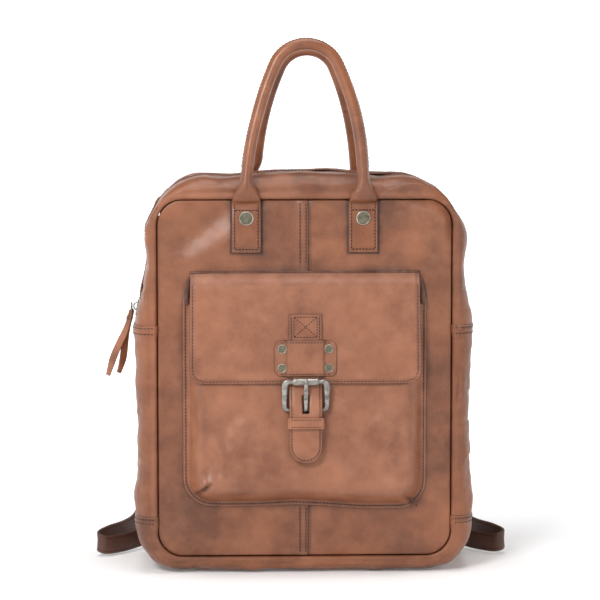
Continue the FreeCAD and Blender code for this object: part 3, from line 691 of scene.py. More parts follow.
def burnish_and_shade_near_trim(x, z):
    """Darker round the handle tabs and the pocket: burnished wax where they are sewn on, and painted shade
    beside these raised parts.
    """
    lows, highs = low("front_tab_backings"), high("front_tab_backings")
    spacing = middle("front_handle_core")[0] + FOOT
    off_x = np.maximum(np.abs(np.abs(x) - spacing) - (highs[0] - spacing), 0)
    off_z = np.maximum(np.maximum(lows[2] - z, z - highs[2]), 0)
    tabs = 0.6 * np.exp(-np.hypot(off_x, off_z) / 2.6)
    pocket = round_box_depth(x, z, pocket_half, pocket_low, flap_hinge[2] + 8, POCKET_CORNER)
    return tabs + 0.35 * np.exp(-np.maximum(-pocket, 0) / 1.8)


# ---- front and back panels ----
LAP = 3.1
rows, half_width = face_rows(panel_low, panel_high, PANEL_CORNER, panel_half)
front_seams = Piece()
for side, name in ((-1, "front_panel_left"), (1, "front_panel_right")):
    inner = -LAP if side < 0 else -9.0
    fractions = spaced(0, panel_half - inner, 2.2, FINE, FINE)
    fractions = fractions / fractions[-1]
    across = inner + fractions[None, :] * (half_width[:, None] - inner)
    x = side * across
    z = np.repeat(rows[:, None], x.shape[1], 1)
    inside = panel_depth(x, z)
    lap = 1.15 * smooth(-9, -2.5, x) if side < 0 else -0.75 * smooth(9, 2, x)
    puff = 0.28 * bump_at(x, -1.6, 1.6) if side < 0 else 0
    points = front_surface(x, z, seam_dip(inside) + lap + puff)
    # painted shade: darker stitch grooves along the middle seam, and on the right panel a painted shadow
    # beside the left panel's lapped edge
    stitch_groove_shade = bump_at(x, 1.2, 0.8) * 0.35 + bump_at(x, -4.5, 0.8) * 0.3
    dark = 0.3 * np.exp(-np.maximum(inside, 0) / 1.1) + stitch_groove_shade + 0.75 * bump_at(x, 4.0, 1.6) * (side > 0)
    dark = dark + burnish_and_shade_near_trim(x, z) - 0.25 * wobble(flat_field(x, z, 70), 85, 201)
    panel = Piece()
    panel.sheet(points, leather, dark)
    panel.finish(name + "_leather", "root", body_leather, "body_leather", name)
for x_at, rise in ((1.2, 1.25), (-4.5, 1.1)):
    for z0, z1 in ((panel_low + 3, pocket_low - 1), (flap_hinge[2] + 12, panel_high - 3)):
        run = np.arange(z0, z1, 1.5)
        front_seams.stitches(front_surface(0 * run + x_at, run, rise), [0, -1, 0], lean=0.1)
front_seams.finish("front_seam_stitches", "root", thread, "trim_leather")

x = shares(panel_half, 2.6)[None, :] * half_width[:, None]
z = np.repeat(rows[:, None], x.shape[1], 1)
inside = panel_depth(x, z)
points = np.stack([-x, back_y + rear_swell(x, z) + seam_dip(inside), z], -1)
panel = Piece()
panel.sheet(points, leather, 0.6 * np.exp(-np.maximum(inside, 0) / 1.7))
panel.finish("back_panel_leather", "root", body_leather, "body_leather", "back_panel")


# ---- gusset round the bag ----
SIDE_Y = 42.0       # where the flat side meets the rolled edge
ROLL = 19.6         # depth of the rolled edge
ZIP_HALF = 11.0     # from the zip's middle to the leather on either side
EDGE_STEPS = np.array([0, 0.6, 1.3, 2.3, 3.6, 5.0, 6.0])
EDGE_RISE = np.array([-1.1, 0.2, 0.9, 1.4, 1.6, 1.6, 1.6])


def gusset_profile(reach, y_stop):
    """(inset, y) of the front half of the gusset for each seam-to-outline reach."""
    turn = np.radians(np.linspace(0, 90, 21)[1:])
    side = spaced(-SIDE_Y, y_stop, 3.0, (), (0.6, 1.4, 2.6) if y_stop < 0 else ())[1:]
    reach = reach[:, None]
    inset = np.hstack([reach - EDGE_STEPS, (reach - 6) * (1 - np.sin(turn)),
                       np.zeros((len(reach), len(side)))])
    y = np.concatenate([front_y - EDGE_RISE, -SIDE_Y - ROLL * np.cos(turn), side])
    return inset, np.broadcast_to(y, inset.shape)


def crumple(points, seed, amount):
    """Creases of soft leather that run mostly round the bag's edge."""
    squeezed = points * np.array([1.0, 0.42, 1.0])
    field = 0.8 * wobble(squeezed, 62, seed) + 0.42 * wobble(squeezed, 27, seed + 1)
    sharp = wobble(squeezed, 38, seed + 2)
    field -= 0.9 * np.exp(-(sharp / 0.16) ** 2) * smooth(-0.4, 0.9, wobble(points, 90, seed + 3))
    return amount * (field + 0.16 * wobble(points, 11, seed + 4))


def gusset(s, part, seed, amount, lift=0.0):
    """Grid of one gusset piece: rows go along the outline, columns from front to back.

    Its part is -1 in front of the zip, 1 behind it and 0 right across.
    """
    moved, out, near = rim_points(s)
    reach_way = near - moved
    reach = np.linalg.norm(reach_way, axis=-1)
    way = reach_way / reach[:, None]
    inset, y = gusset_profile(reach, -ZIP_HALF if part else 0.0)
    if not part:
        inset = np.hstack([inset, inset[:, -2::-1]])
        y = np.hstack([y, -y[:, -2::-1]])
    flat = moved[:, None] + way[:, None] * inset[..., None]
    points = np.stack([flat[..., 0], y, flat[..., 1]], -1)
    if part > 0:
        points = (points * np.array([1, -1, 1]))[:, ::-1]
    normals = grid_normals(points)
    outward = np.stack([out[:, 0], 0 * out[:, 0], out[:, 1]], -1)[:, None]
    normals = normals * np.sign((normals * outward).sum(-1).mean())
    from_seam = np.concatenate([EDGE_STEPS, np.full(inset.shape[1] - len(EDGE_STEPS), 9.0)])
    if not part:
        from_seam = np.minimum(from_seam, from_seam[::-1])
    elif part > 0:
        from_seam = from_seam[::-1]
    along = np.minimum(s - s[0], s[-1] - s)
    calm = smooth(0, 8, from_seam)[None, :] * smooth(0, 10, along + 2)[:, None]
    steps = np.linalg.norm(np.diff(points, axis=1), axis=-1)
    travel = np.cumsum(np.hstack([np.zeros((len(s), 1)), steps]), axis=1)
    back_way = travel[:, -1:] - travel
    travel = {-1: travel, 0: np.minimum(travel, back_way), 1: back_way}[part]
    drift = wobble(points * [1, 0.2, 1], 75, seed + 11)
    bend = crumple(points, seed, amount) * calm
    valley = 1.1 * smooth(-0.7, 0.6, drift) * bump_at(travel, 8.2 + 1.5 * drift, 2.2)
    bend += (0.9 + 0.4 * drift) * bump_at(travel, 4.0, 1.8) - valley
    bend += 1.2 * smooth(-0.5, 0.8, drift) * bump_at(travel, 13.0 + 2.5 * drift, 3.2)
    bend += lift
    dark = 0.25 * np.exp(-from_seam / 0.8)[None, :] + 0 * along[:, None]
    dark = dark - 0.22 * wobble(points, 70, seed + 9)
    # lighter band on the ridge 5 mm from the seam: rubbed wear and painted highlight
    wear_and_highlight = 0.35 * bump_at(from_seam, 5.0, 1.6)[None, :] * (0.6 + 0.4 * wobble(points, 60, seed + 7))
    return points + normals * bend[..., None], normals, dark - wear_and_highlight, along


def row_at(grid, places, value):
    """The grid's row at a place between its rows."""
    i = int(np.clip(np.searchsorted(places, value), 1, len(places) - 1))
    t = (value - places[i - 1]) / (places[i] - places[i - 1])
    return grid[i - 1] * (1 - t) + grid[i] * t


right_base, left_base = outline.where(base_hem, 1), outline.where(base_hem, -1)
right_side, left_side = outline.where(side_hem, 1), outline.where(side_hem, -1)
gusset_threads = Piece()


def sew_hem(points, normals, s, edge, sign, insets):
    """Rows of thread across the gusset, at each inset from one end of it."""
    for inset in insets:
        row = row_at(points, s, edge + sign * inset)
        out = row_at(normals, s, edge + sign * inset)
        gusset_threads.stitches(row[4:-4], out[4:-4])


def zip_gape(x, z):
    """How far the leather in front of the zip stands in from the outline, at the zip."""
    return np.where(x < 0, 6.5, 5.5) * np.exp(-((z - 266) / 17) ** 2)



s = spaced(left_base - outline.length, right_base, 2.4, FINE, FINE)
ends = np.minimum(s - s[0], s[-1] - s)
points, normals, dark, along = gusset(s, 0, 21, 1.1, (1.1 * smooth(20, 5, ends))[:, None])
piece = Piece()
piece.sheet(points, leather, dark + 0.5 * bump_at(along, 3, 1.2)[:, None])
piece.finish("bottom_gusset_leather", "root", body_leather, "body_leather", "bottom_gusset")
for edge, sign in ((s[0], 1), (s[-1], -1)):
    sew_hem(points, normals, s, edge, sign, (2.6, 6.6))

for side, first, last, name in ((1, right_base - 4, right_side, "side_panel_right"),
                                (-1, left_side, left_base + 4, "side_panel_left")):
    s = spaced(first, last, 2.4, FINE, FINE)
    top_gap = (s[-1] - s) if side > 0 else (s - s[0])
    points, normals, dark, _ = gusset(s, 0, 31 + side, 1.7, (1.2 * smooth(13, 4, top_gap))[:, None])
    piece = Piece()
    hem_lines = 0.4 * bump_at(top_gap, 3, 1.2) + 0.3 * bump_at(top_gap, 8, 1.2)
    hem_lines = hem_lines + 0.3 * bump_at(top_gap, 12, 1.5)
    piece.sheet(points, leather, dark + hem_lines[:, None])
    piece.finish(name + "_leather", "root", body_leather, "body_leather", name)
    edge, sign = (s[-1], -1) if side > 0 else (s[0], 1)
    sew_hem(points, normals, s, edge, sign, (2.6, 8.0))

s = spaced(right_side - 5, left_side + 5, 2.4, FINE, FINE)
for turn, seed, name in ((-1, 41, "top_gusset_front"), (1, 51, "top_gusset_back")):
    points, normals, dark, _ = gusset(s, turn, seed, 1.15)
    if turn < 0:
        gape = zip_gape(points[..., 0], points[..., 2])
        points[..., 0] -= np.sign(points[..., 0]) * gape * smooth(-36, -ZIP_HALF, points[..., 1])
    to_zip = np.abs(np.abs(points[..., 1]) - ZIP_HALF)
    piece = Piece()
    piece.sheet(points + normals * (0.5 * bump_at(to_zip, 3.2, 2.4))[..., None], leather,
                dark + 0.45 * bump_at(to_zip, 2.4, 1.0))
    piece.finish(name + "_leather", "root", body_leather, "body_leather", name)
    order = np.argsort(np.abs(points[0, :, 1]))[:5]
    column = points[4:-4, order[3]]
    gusset_threads.stitches(column, normals[4:-4, order[3]], rise=0.45)
gusset_threads.finish("gusset_stitches", "root", thread, "trim_leather")

# ---- zip ----
s = np.arange(right_side + 1, left_side - 1, 2.4)
moved, out, _ = rim_points(s)
for turn, name in ((-1, "zip_tape_front"), (1, "zip_tape_back")):
    y = turn * np.array([1.6, 3.4, 6.0, 9.0, 13.0, 18.0])
    under = 2.9 + 0.5 * smooth(8, 14, np.abs(y))
    gape = zip_gape(moved[:, :1], moved[:, 1:]) * (turn < 0)
    under = under + (gape + 0.4) * smooth(2, 9, np.abs(y)) * smooth(36, ZIP_HALF, np.abs(y))
    flat = moved[:, None] - out[:, None] * under[..., None]
    tape = np.stack([flat[..., 0], np.broadcast_to(y, flat.shape[:2]), flat[..., 1]], -1)
    piece = Piece()
    piece.sheet(tape, 0.8, edge_shade=0.0)
    piece.finish(name + "_cloth", "root", zip_cloth, "zip_fabric", name)
PITCH = 1.45
s = np.arange(right_side + 1, left_side - 1, PITCH)
moved, out, _ = rim_points(s)
up = np.stack([out[:, 0], 0 * s, out[:, 1]], -1)
centre = np.stack([moved[:, 0], np.where(np.arange(len(s)) % 2, 1.1, -1.1), moved[:, 1]], -1) - up * 2.0
piece = Piece()
piece.pegs(centre, np.broadcast_to([0.0, 1.0, 0.0], centre.shape), up, 1.9, 0.66, bow=0.0)
piece.finish("zip_teeth", "root", zip_metal, "zip_metal", "zip_chain")
piece = Piece()
for at in (0, -1):
    piece.tube([centre[at] * [1, 0, 1] + [0, y, 0] for y in (-2.6, 2.6)], up[at], 1.3, 1.5, power=4)
piece.finish("zip_end_stops", "root", zip_metal, "zip_metal", "zip_stops")

# slider, link and leather pull
slider_z = middle("zip_slider")[2]
s = outline.where(slider_z, -1) + np.linspace(-6, 6, 9)
moved, out, _ = rim_points(s)
up = np.stack([out[:, 0], 0 * s, out[:, 1]], -1)
line = np.stack([moved[:, 0], 0 * s, moved[:, 1]], -1)
piece = Piece()
taper = 4.6 + 0.7 * np.linspace(1, -1, 9)
piece.tube(line + up * 0.6, [0, 1, 0], taper, 0.85, sides=20, power=4.5)
for y in (-1, 1):
    piece.tube(line - up * 0.8 + [0, y * 4.2, 0], [0, 1, 0], 0.7, 1.4, sides=12, power=4)
turn = np.radians(np.linspace(0, 180, 13))[:, None]
along = unit(line[-1] - line[0])
bridge = line[4] + along * 3.6 * np.cos(turn) + up[4] * (1.2 + 3.0 * np.sin(turn))
piece.tube(bridge, [0, 1, 0], 1.2, 0.7, sides=12)
piece.finish("slider_body", "slider", zip_metal, "zip_metal", "zip_slider")
link_top, link_low = joint_place("link_swing"), joint_place("pull_swing")
turn = np.radians(np.arange(0, 360, 12))
half_link = (high("zip_link")[1] - low("zip_link")[1]) / 2 - 0.8
span = (link_top[2] - link_low[2]) / 2
ring = np.stack([0 * turn + link_top[0], half_link * np.sign(np.cos(turn)) * np.abs(np.cos(turn)) ** 0.7,
                 link_low[2] + span + span * np.sign(np.sin(turn)) * np.abs(np.sin(turn)) ** 0.7], -1)
piece = Piece()
piece.tube(ring, [1, 0, 0], 0.82, 0.82, sides=12, closed=True)
piece.finish("pull_ring", "link", zip_metal, "zip_metal", "zip_link")
pull_low = low("zip_pull")
piece = Piece()
down = unit(np.array([pull_low[0] + 2 - link_low[0], 0, pull_low[2] - link_low[2]]))
reach = abs(pull_low[2] - link_low[2]) / abs(down[2])
for turn, swing in ((-1, -3.4), (1, 3.6)):
    t = np.linspace(0, 1, 26)
    path = link_low + down * (t * (reach - (2 if turn > 0 else 0)))[:, None]
    path[:, 0] += swing * 1.5 * smooth(0.05, 1.0, t) + 0.5 * np.sin(9 * t + turn)
    path[:, 1] += turn * (1.5 + 0.9 * smooth(0, 1, t)) + 0.4 * np.sin(7 * t)
    width = 2.3 + 1.5 * smooth(0.0, 0.5, t) - 1.3 * smooth(0.75, 1.0, t)
    piece.tube(path, [0.86, turn * 0.5, 0.0], width, 0.95, sides=16, power=4,
               shade=0.25 * np.sin(11 * t) + 0.55 * smooth(0.1, 0, t))
turn = np.radians(np.linspace(-80, 260, 19))[:, None]
eye_ring = link_low + np.hstack([np.cos(turn), 0 * turn, np.sin(turn)]) * 1.75
piece.tube(eye_ring, [0, 1, 0], 2.4, 0.75, power=4, shade=0.3)
knot = np.array([link_low + down * 5.2, link_low + down * 8.2])
piece.tube(knot, [0.86, 0.2, 0], 3.0, 2.4, power=3, shade=0.7)
piece.finish("pull_thong", "pull", trim_leather, "trim_leather", "zip_pull")

# ---- inside of the bag: a soft lining well clear of the leather ----
piece = Piece()
s = np.linspace(0, outline.length, 180, endpoint=False)
moved, out, _ = rim_points(s)
y = np.array([-50, -49, -46, -38, -20, 0, 20, 38, 46, 49, 50.0])
rings = []
for place in y:
    inset = 8.0 + 10 * smooth(30, 50, abs(place)) ** 2
    flat = moved - out * inset
    ring = np.stack([flat[:, 0], 0 * s + place, flat[:, 1]], -1)
    rings.append(ring + 0.6 * wobble(ring, 40, 61)[:, None])
number = np.arange(len(y) * len(s)).reshape(len(y), len(s))
piece.add(np.array(rings), [ring_quads(number), number[:1, ::-1], number[-1:]])
piece.finish("lining_bag", "root", lining_cloth, "lining_fabric", "lining")

# ---- front pocket ----
SLOPE = math.radians(5.0)
mouth_y = front_y - 10.0


def closure(n, s, x=0.0):
    """A point n outside the pocket's front and s below its mouth."""
    n, s, x = np.broadcast_arrays(np.asarray(n, float), np.asarray(s, float), np.asarray(x, float))
    return np.stack([x, mouth_y - n * math.cos(SLOPE) - s * math.sin(SLOPE),
                     mouth_z + n * math.sin(SLOPE) - s * math.cos(SLOPE)], -1)


def closure_at(place):
    """(n, s) of a point."""
    y, z = mouth_y - place[1], mouth_z - place[2]
    return y * math.cos(SLOPE) - z * math.sin(SLOPE), y * math.sin(SLOPE) + z * math.cos(SLOPE)


CLOSURE_OUT = -closure(0, 0) + closure(1, 0)


POCKET_CREASES = (
    ((-33, 182), (-14, 128), 9.0, 1.5, 4), ((-70, 156), (-76, 118), 7.0, -1.2, -3),
    ((-62, 152), (-52, 116), 8.0, 0.8, 3), ((-96, 130), (-92, 90), 5.5, -1.8, 3),
    ((-84, 96), (-66, 76), 6.0, 1.5, 2), ((-104, 172), (-102, 120), 3.6, 1.6, 4),
    ((66, 152), (82, 126), 7.0, 1.8, 4), ((88, 120), (100, 92), 6.0, -2.2, -4),
    ((40, 108), (84, 92), 8.0, -1.3, 3), ((-46, 92), (10, 84), 8.0, -1.2, -3),
    ((92, 168), (104, 130), 5.0, -1.4, 2), ((-40, 120), (-24, 96), 6.0, -1.1, 2))
DARTS = ((-104, 76, -90, 88), (106, 67, 93, 79))


def pocket_swell(x, z):
    """How far the filled pocket's front swells out of its plane."""
    points = flat_field(x, z, 900)
    low_part = smooth(190, 150, z)
    swell = (0.9 * wobble(points, 70, 71) + 0.55 * wobble(points, 30, 72)) * (0.35 + 0.65 * low_part)
    hollow = 1.1 * low_part * smooth(30, 62, np.abs(x)) * bump_at(z, 130, 40)
    swell += 0.16 * wobble(points, 12, 73) - hollow
    swell = folded(swell, x, z, POCKET_CREASES, 1.25, 1.5)
    ceiling = 0.5 + 2.6 * low_part * smooth(26, 40, np.abs(x))
    return soft_cap(swell, ceiling)


def pocket_surface(x, z):
    """Points on the pocket: a sewn rim that swells out to the sloping front."""
    x, z = np.broadcast_arrays(np.asarray(x, float), np.asarray(z, float))
    inside = round_box_depth(x, z, pocket_half, pocket_low, mouth_z + 90, POCKET_CORNER)
    share = np.clip((inside - 4.2) / 17.0, 0, 1)
    rise = 1 - (1 - share ** 1.35) ** 2.3
    depth = (front_y - mouth_y) + (mouth_z - z) * math.tan(SLOPE)
    out = leather + rise * (depth - leather + pocket_swell(x, z) * smooth(0.1, 0.9, share))
    for corner_x, corner_z, inner_x, inner_z in DARTS:
        out += fold(x, z, (corner_x, corner_z), (inner_x, inner_z), 1.8, -3.6)
        out += fold(x, z, (corner_x * 0.955, corner_z - 2), (inner_x * 0.955, inner_z - 2), 3.0, 1.7)
    base = front_surface(x, z)
    droop = (1.6 * bump_at(x, -12, 24) - 2.4 * smooth(15, 60, x) + 0.8 * smooth(-70, -112, x))
    moved = base + np.stack([0 * x, -out, droop * smooth(150, 70, z)], -1)
    return moved, inside


rows = spaced(pocket_low, mouth_z, 2.0, FINE + (7.4, 9.6), FINE)
half_width = pocket_half - corner_inset(rows, pocket_low, mouth_z, POCKET_CORNER, 0)
x = shares(pocket_half, 2.1, FINE + (7.4, 9.6))[None, :] * half_width[:, None]
z = np.repeat(rows[:, None], x.shape[1], 1)
points, inside = pocket_surface(x, z)
piece = Piece()
# painted shade along the stitch line 2.6 mm inside the rim, and a painted highlight on the swell 11 mm
# inside it
stitch_shade_and_ridge_highlight = 0.5 * bump_at(inside, 2.6, 0.8) - 0.45 * bump_at(inside, 11.0, 3.0)
# painted shade in the folds of the darts
dart_fold_shade = sum(fold(x, z, (a, b), (c, d), 2.2, 1.5) for a, b, c, d in DARTS)
# painted shade: the pocket darker towards its bottom
low_painted_shade = 0.21 * smooth(28, 12, rows[:, None] - pocket_low)
piece.sheet(points, leather, stitch_shade_and_ridge_highlight + 0.5 * dart_fold_shade + low_painted_shade, edge_shade=0.9)
piece.finish("pocket_leather", "root", flap_leather, "body_leather", "pocket_body")
threads = Piece()
side_z = np.arange(mouth_z - 2, pocket_low + POCKET_CORNER, -1.6)
turn = np.radians(np.linspace(0, 90, 16))
arc_r = POCKET_CORNER - 2.6
arc_x = pocket_half - POCKET_CORNER + arc_r * np.cos(turn)
arc_z = pocket_low + POCKET_CORNER - arc_r * np.sin(turn)
base_x = np.linspace(pocket_half - POCKET_CORNER - 1, 0, 60)
edge_x = np.concatenate([0 * side_z + pocket_half - 2.6, arc_x, base_x])
edge_z = np.concatenate([side_z, arc_z, np.full(60, pocket_low + 2.6)])
for mirror in (-1, 1):
    run, _ = pocket_surface(mirror * edge_x, edge_z)
    threads.stitches(run, [0, -1, 0], lean=0.12)
for a, b, c, d in DARTS:
    t = np.linspace(0, 1, 9)
    for shift in (-1.68, 1.68):
        run, _ = pocket_surface(a + (c - a) * t + shift, b + (d - b) * t + (shift if c > a else -shift))
        threads.stitches(run, [0, -1, 0])
threads.finish("pocket_stitches", "root", thread, "trim_leather")

# ---- pocket flap ----
FLAP_N = 4.0
FLAP_LEAF = 2.4
hinge_y, hinge_z = flap_hinge[1], flap_hinge[2]
profile = np.array([[0, hinge_y + 0.5, hinge_z + 3.4], [0, hinge_y - 2.4, hinge_z + 2.6],
                    [0, hinge_y - 4.6, hinge_z - 1.2], closure(3.1, -12), closure(FLAP_N, -2),
                    closure(FLAP_N + 0.25, 20), closure(FLAP_N + 0.1, 50), closure(FLAP_N, 70),
                    closure(FLAP_N, 81.0)])
path = smooth_path(profile, 400)
s = lengths(path)
rows = spaced(0, s[-1], 2.0, FINE, FINE)
path = np.stack([np.interp(rows, s, path[:, k]) for k in range(3)], -1)
to_edge = rows[-1] - rows
corner = 14.0
width = flap_half - 0.9 + 1.2 * smooth(20, rows[-1], rows)
width = width - (corner - np.sqrt(np.maximum(corner ** 2 - np.clip(corner - to_edge, 0, corner) ** 2, 0)))
x = shares(flap_half, 2.1)[None, :] * width[:, None]
points = np.repeat(path[:, None], x.shape[1], 1)
points[..., 0] = x
way = unit(np.cross([1.0, 0, 0], np.gradient(path, axis=0)))
way = way * np.where(way[:, 1:2] > 0, -1, 1)
zf = points[..., 2]
from_edge = np.minimum(np.minimum(width[:, None] - np.abs(x), to_edge[:, None]), 60)
flat_points = flat_field(x, zf, 1500)
lift = 0.42 * wobble(flat_points, 95, 81) + 0.22 * wobble(flat_points, 34, 82)
lift = lift + 0.07 * wobble(flat_points, 12, 83)
lift = folded(lift, x, zf, (
    ((-98, 268), (-60, 244), 8.0, -1.1, 3), ((-44, 250), (-24, 232), 7.0, 0.8, 2),
    ((50, 262), (92, 252), 8.0, -0.8, -3), ((34, 214), (70, 204), 8.0, 0.8, 2),
    ((-92, 212), (-54, 204), 8.0, 0.7, -2), ((76, 232), (98, 216), 6.0, -0.7, 2)))
lift = np.maximum(lift, -0.5) * smooth(2, 30, rows)[:, None] * (0.25 + 0.75 * smooth(26, 40, np.abs(x)))
lift += 0.3 * bump_at(from_edge, 5.6, 2.2) - 0.2 * bump_at(from_edge, 3.0, 0.8)
points = points + way[:, None] * lift[..., None]
flap_points, flap_rows = points, rows
dark = 0.5 * bump_at(from_edge, 3.0, 0.9) + 0.5 * np.exp(-from_edge / 1.1)
dark = dark + 0.55 * smooth(7, 0, rows)[:, None]
# lighter band along the ridge by the lower edge: rubbed wear and painted highlight
wear_and_highlight = 0.4 * bump_at(to_edge[:, None], 7, 3.5) * (0.5 + 0.5 * wobble(flat_points, 50, 84))
piece = Piece()
piece.sheet(points, FLAP_LEAF, dark - wear_and_highlight, edge_shade=0.95, soft=0.36)
flap = piece.finish("flap_leather", None, flap_leather, "body_leather", "pocket_flap")
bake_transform(flap)


def flap_point(x_at, row):
    """The flap's surface at x and a distance along it from its seam."""
    i = np.clip(np.searchsorted(flap_rows, row), 1, len(flap_rows) - 1)
    out = []
    for x_one, k in zip(np.broadcast_to(x_at, np.shape(i)), i):
        line = flap_points[k]
        out.append([x_one] + [np.interp(x_one, line[:, 0], line[:, axis]) for axis in (1, 2)])
    return np.array(out)


threads = Piece()
run_rows = np.arange(14, flap_rows[-1] - 17, 2.0)
turn = np.radians(np.linspace(0, 90, 12))
base_row, base_x = flap_rows[-1] - 14, flap_half - 14
across_end = np.linspace(base_x - 1, 22, 40)
edge_x = np.concatenate([0 * run_rows + flap_half - 3.2, base_x + 10.8 * np.cos(turn), across_end])
edge_r = np.concatenate([run_rows, base_row + 10.8 * np.sin(turn), np.full(40, flap_rows[-1] - 3.2)])
for mirror in (-1, 1):
    threads.stitches(flap_point(mirror * edge_x, edge_r), CLOSURE_OUT, radius=0.36, rise=0.05)
threads.finish("flap_stitches", "flap", thread, "trim_leather")

piece = Piece()
strip_z = np.linspace(hinge_z + 2.4, hinge_z + 5.0, 7)
x = np.linspace(-flap_half + 0.6, flap_half - 0.6, 120)
crown = 1.2 + 0.5 * np.sin(np.linspace(0.25, 2.9, len(strip_z)))[:, None]
grid = front_surface(x[None, :], strip_z[:, None], crown)
piece.sheet(grid, 1.0, 0.8, edge_shade=0.95)
piece.finish("flap_seam_welt", "root", flap_leather, "body_leather", "flap_seam_strip")
for side in (-1, 1):
    # bar tacks at the pocket's upper sides; their dark colour paints the shadow in the slit between flap
    # and pocket side
    piece = Piece()
    tack_z = np.linspace(mouth_z - 6, hinge_z - 2, 14)
    tack_x = side * (pocket_half - 3.6 - 2.4 * smooth(mouth_z, hinge_z, tack_z))
    path = front_surface(tack_x, tack_z, 3.6)
    piece.tube(path, [1, 0, 0], 2.4 - 0.9 * smooth(mouth_z, hinge_z, tack_z), 1.2, power=4, shade=0.85)
    piece.finish("pocket_corner_tab_" + SIDE_NAMES[side], "root", trim_leather, "trim_leather")

# ---- strap, patch and buckle on the flap ----
hinge_n, hinge_s = closure_at(joint_place("buckle_tilt"))
billet_half = high("billet_strap")[0]
tip_s = closure_at([0, middle("billet_strap")[1], low("billet_strap")[2]])[1]
# how high the strap's middle rides: the bar, its half thickness, a small gap and the strap
over = hinge_n + 3.58 + 0.3 + 2.4
billet_path = smooth_path([closure(n, s) for n, s in (
    (6.4, 15.5), (6.5, 40), (6.4, 70), (6.9, 84), (9.6, 94), (over - 0.3, 101), (over, 106),
    (over - 0.5, 112), (over - 2.2, 122), (over - 2.8, 138), (over - 3.2, tip_s))], 400)
s = lengths(billet_path)
rows = spaced(0, s[-1], 1.3, FINE, FINE)
path = np.stack([np.interp(rows, s, billet_path[:, k]) for k in range(3)], -1)
to_tip = rows[-1] - rows
width = billet_half * np.sqrt(np.clip(1 - np.clip((17 - to_tip) / 17, 0, 1) ** 2.3, 0, 1))
width = np.maximum(width, 0.8) * (1 + 0.012 * np.sin(rows / 9))
fractions = spaced(-1, 1, 1.5 / billet_half, (0.03, 0.08, 0.14), (0.03, 0.08, 0.14))
x = fractions[None, :] * width[:, None]
points = np.repeat(path[:, None], x.shape[1], 1)
points[..., 0] = x
way = unit(np.cross(np.gradient(path, axis=0), [1.0, 0, 0]))
way = way * np.where(way[:, 1:2] > 0, -1, 1)
from_edge = np.minimum(width[:, None] - np.abs(x), to_tip[:, None])
crown = 0.35 * smooth(0, 5, from_edge) - 0.22 * bump_at(from_edge, 2.2, 0.6)
points = points + way[:, None] * (crown + 0.1 * wobble(points, 22, 91))[..., None]
mid_x = (x[1:, 1:] + x[:-1, :-1]) / 2
mid_row = ((rows[1:] + rows[:-1]) / 2)[:, None]
slot = (np.abs(mid_x) < 2.9) & (np.abs(mid_row - (rows[-1] - (tip_s - hinge_s) - 5)) < 8)
piece = Piece()
dark = 0.45 * bump_at(from_edge, 2.2, 0.8) + 0.4 * np.exp(-from_edge / 1.0)
# lighter band where the strap bends up towards the buckle: rubbed wear and painted highlight
wear_and_highlight = 0.35 * bump_at(rows, 90, 8)[:, None]
piece.sheet(points, 2.2, dark - wear_and_highlight, keep=~slot.ravel(), edge_shade=0.95)
piece.finish("billet_leather", "flap", trim_leather, "trim_leather", "billet_strap")
billet_points, billet_rows, billet_way = points, rows, way


def billet_run(x_at, row):
    """The strap's surface and outward direction at x and a distance along it."""
    k = np.interp(row, billet_rows, np.arange(len(billet_rows)))
    i = np.clip(np.round(k).astype(int), 0, len(billet_rows) - 1)
    out = []
    for x_one, j, r in zip(np.broadcast_to(x_at, i.shape), i, np.broadcast_to(row, i.shape)):
        line = billet_points[j]
        shift = (r - billet_rows[j]) * unit(np.gradient(billet_points[:, 0], axis=0))[j]
        out.append([x_one, np.interp(x_one, line[:, 0], line[:, 1]) + shift[1],
                    np.interp(x_one, line[:, 0], line[:, 2]) + shift[2]])
    return np.array(out), billet_way[i]


threads = Piece()
t = np.arange(2.5, billet_rows[-1] - 17, 1.5)
tip = np.linspace(billet_rows[-1] - 17, billet_rows[-1] - 2.6, 16)
seam_half = billet_half - 2.3
tip_share = (tip - tip[0]) / (tip[-1] - tip[0] + 0.01)
tip_x = seam_half * np.sqrt(np.clip(1 - tip_share ** 2.2, 0, 1))
seam_x, seam_row = np.concatenate([0 * t + billet_half - 2.3, tip_x]), np.concatenate([t, tip])
for mirror in (-1, 1):
    run, out = billet_run(mirror * seam_x, seam_row)
    threads.stitches(run, out, pitch=2.9, radius=0.36, rise=0.1)
box_low, box_high, box_x = 2.6, 21.5, billet_half - 4.6
for a, b in (((-box_x, box_low), (box_x, box_high)), ((box_x, box_low), (-box_x, box_high)),
             ((-box_x, box_low), (box_x, box_low)), ((-box_x, box_high), (box_x, box_high)),
             ((-box_x, box_low), (-box_x, box_high)), ((box_x, box_low), (box_x, box_high))):
    t = np.linspace(0, 1, 14)
    run, out = billet_run(a[0] + (b[0] - a[0]) * t, a[1] + (b[1] - a[1]) * t)
    threads.stitches(run, out, pitch=2.7, radius=0.36, rise=0.12)

patch_half = high("strap_patch")[0]
patch_s = (40.0, 74.0)
rows = spaced(*patch_s, 1.3, FINE, FINE)
corner = 7.0
into_corner = np.maximum(corner - np.minimum(rows - patch_s[0], patch_s[1] - rows), 0)
inset = corner - np.sqrt(np.maximum(corner ** 2 - into_corner ** 2, 0))
fractions = spaced(-1, 1, 1.3 / patch_half, (0.016, 0.04, 0.08), (0.016, 0.04, 0.08))
x = fractions[None, :] * (patch_half - inset)[:, None]
bridge = smooth(billet_half + 3.6, billet_half + 0.2, np.abs(x))
from_edge = np.minimum(np.minimum(rows - patch_s[0], patch_s[1] - rows)[:, None],
                       (patch_half - inset)[:, None] - np.abs(x))
n = FLAP_N + 1.9 + 2.55 * bridge + 0.2 * smooth(0, 4, from_edge)
along = rows[:, None] + 0 * x
points = closure(n + 0.12 * wobble(np.stack([x, n, along], -1), 16, 92), along, x)
piece = Piece()
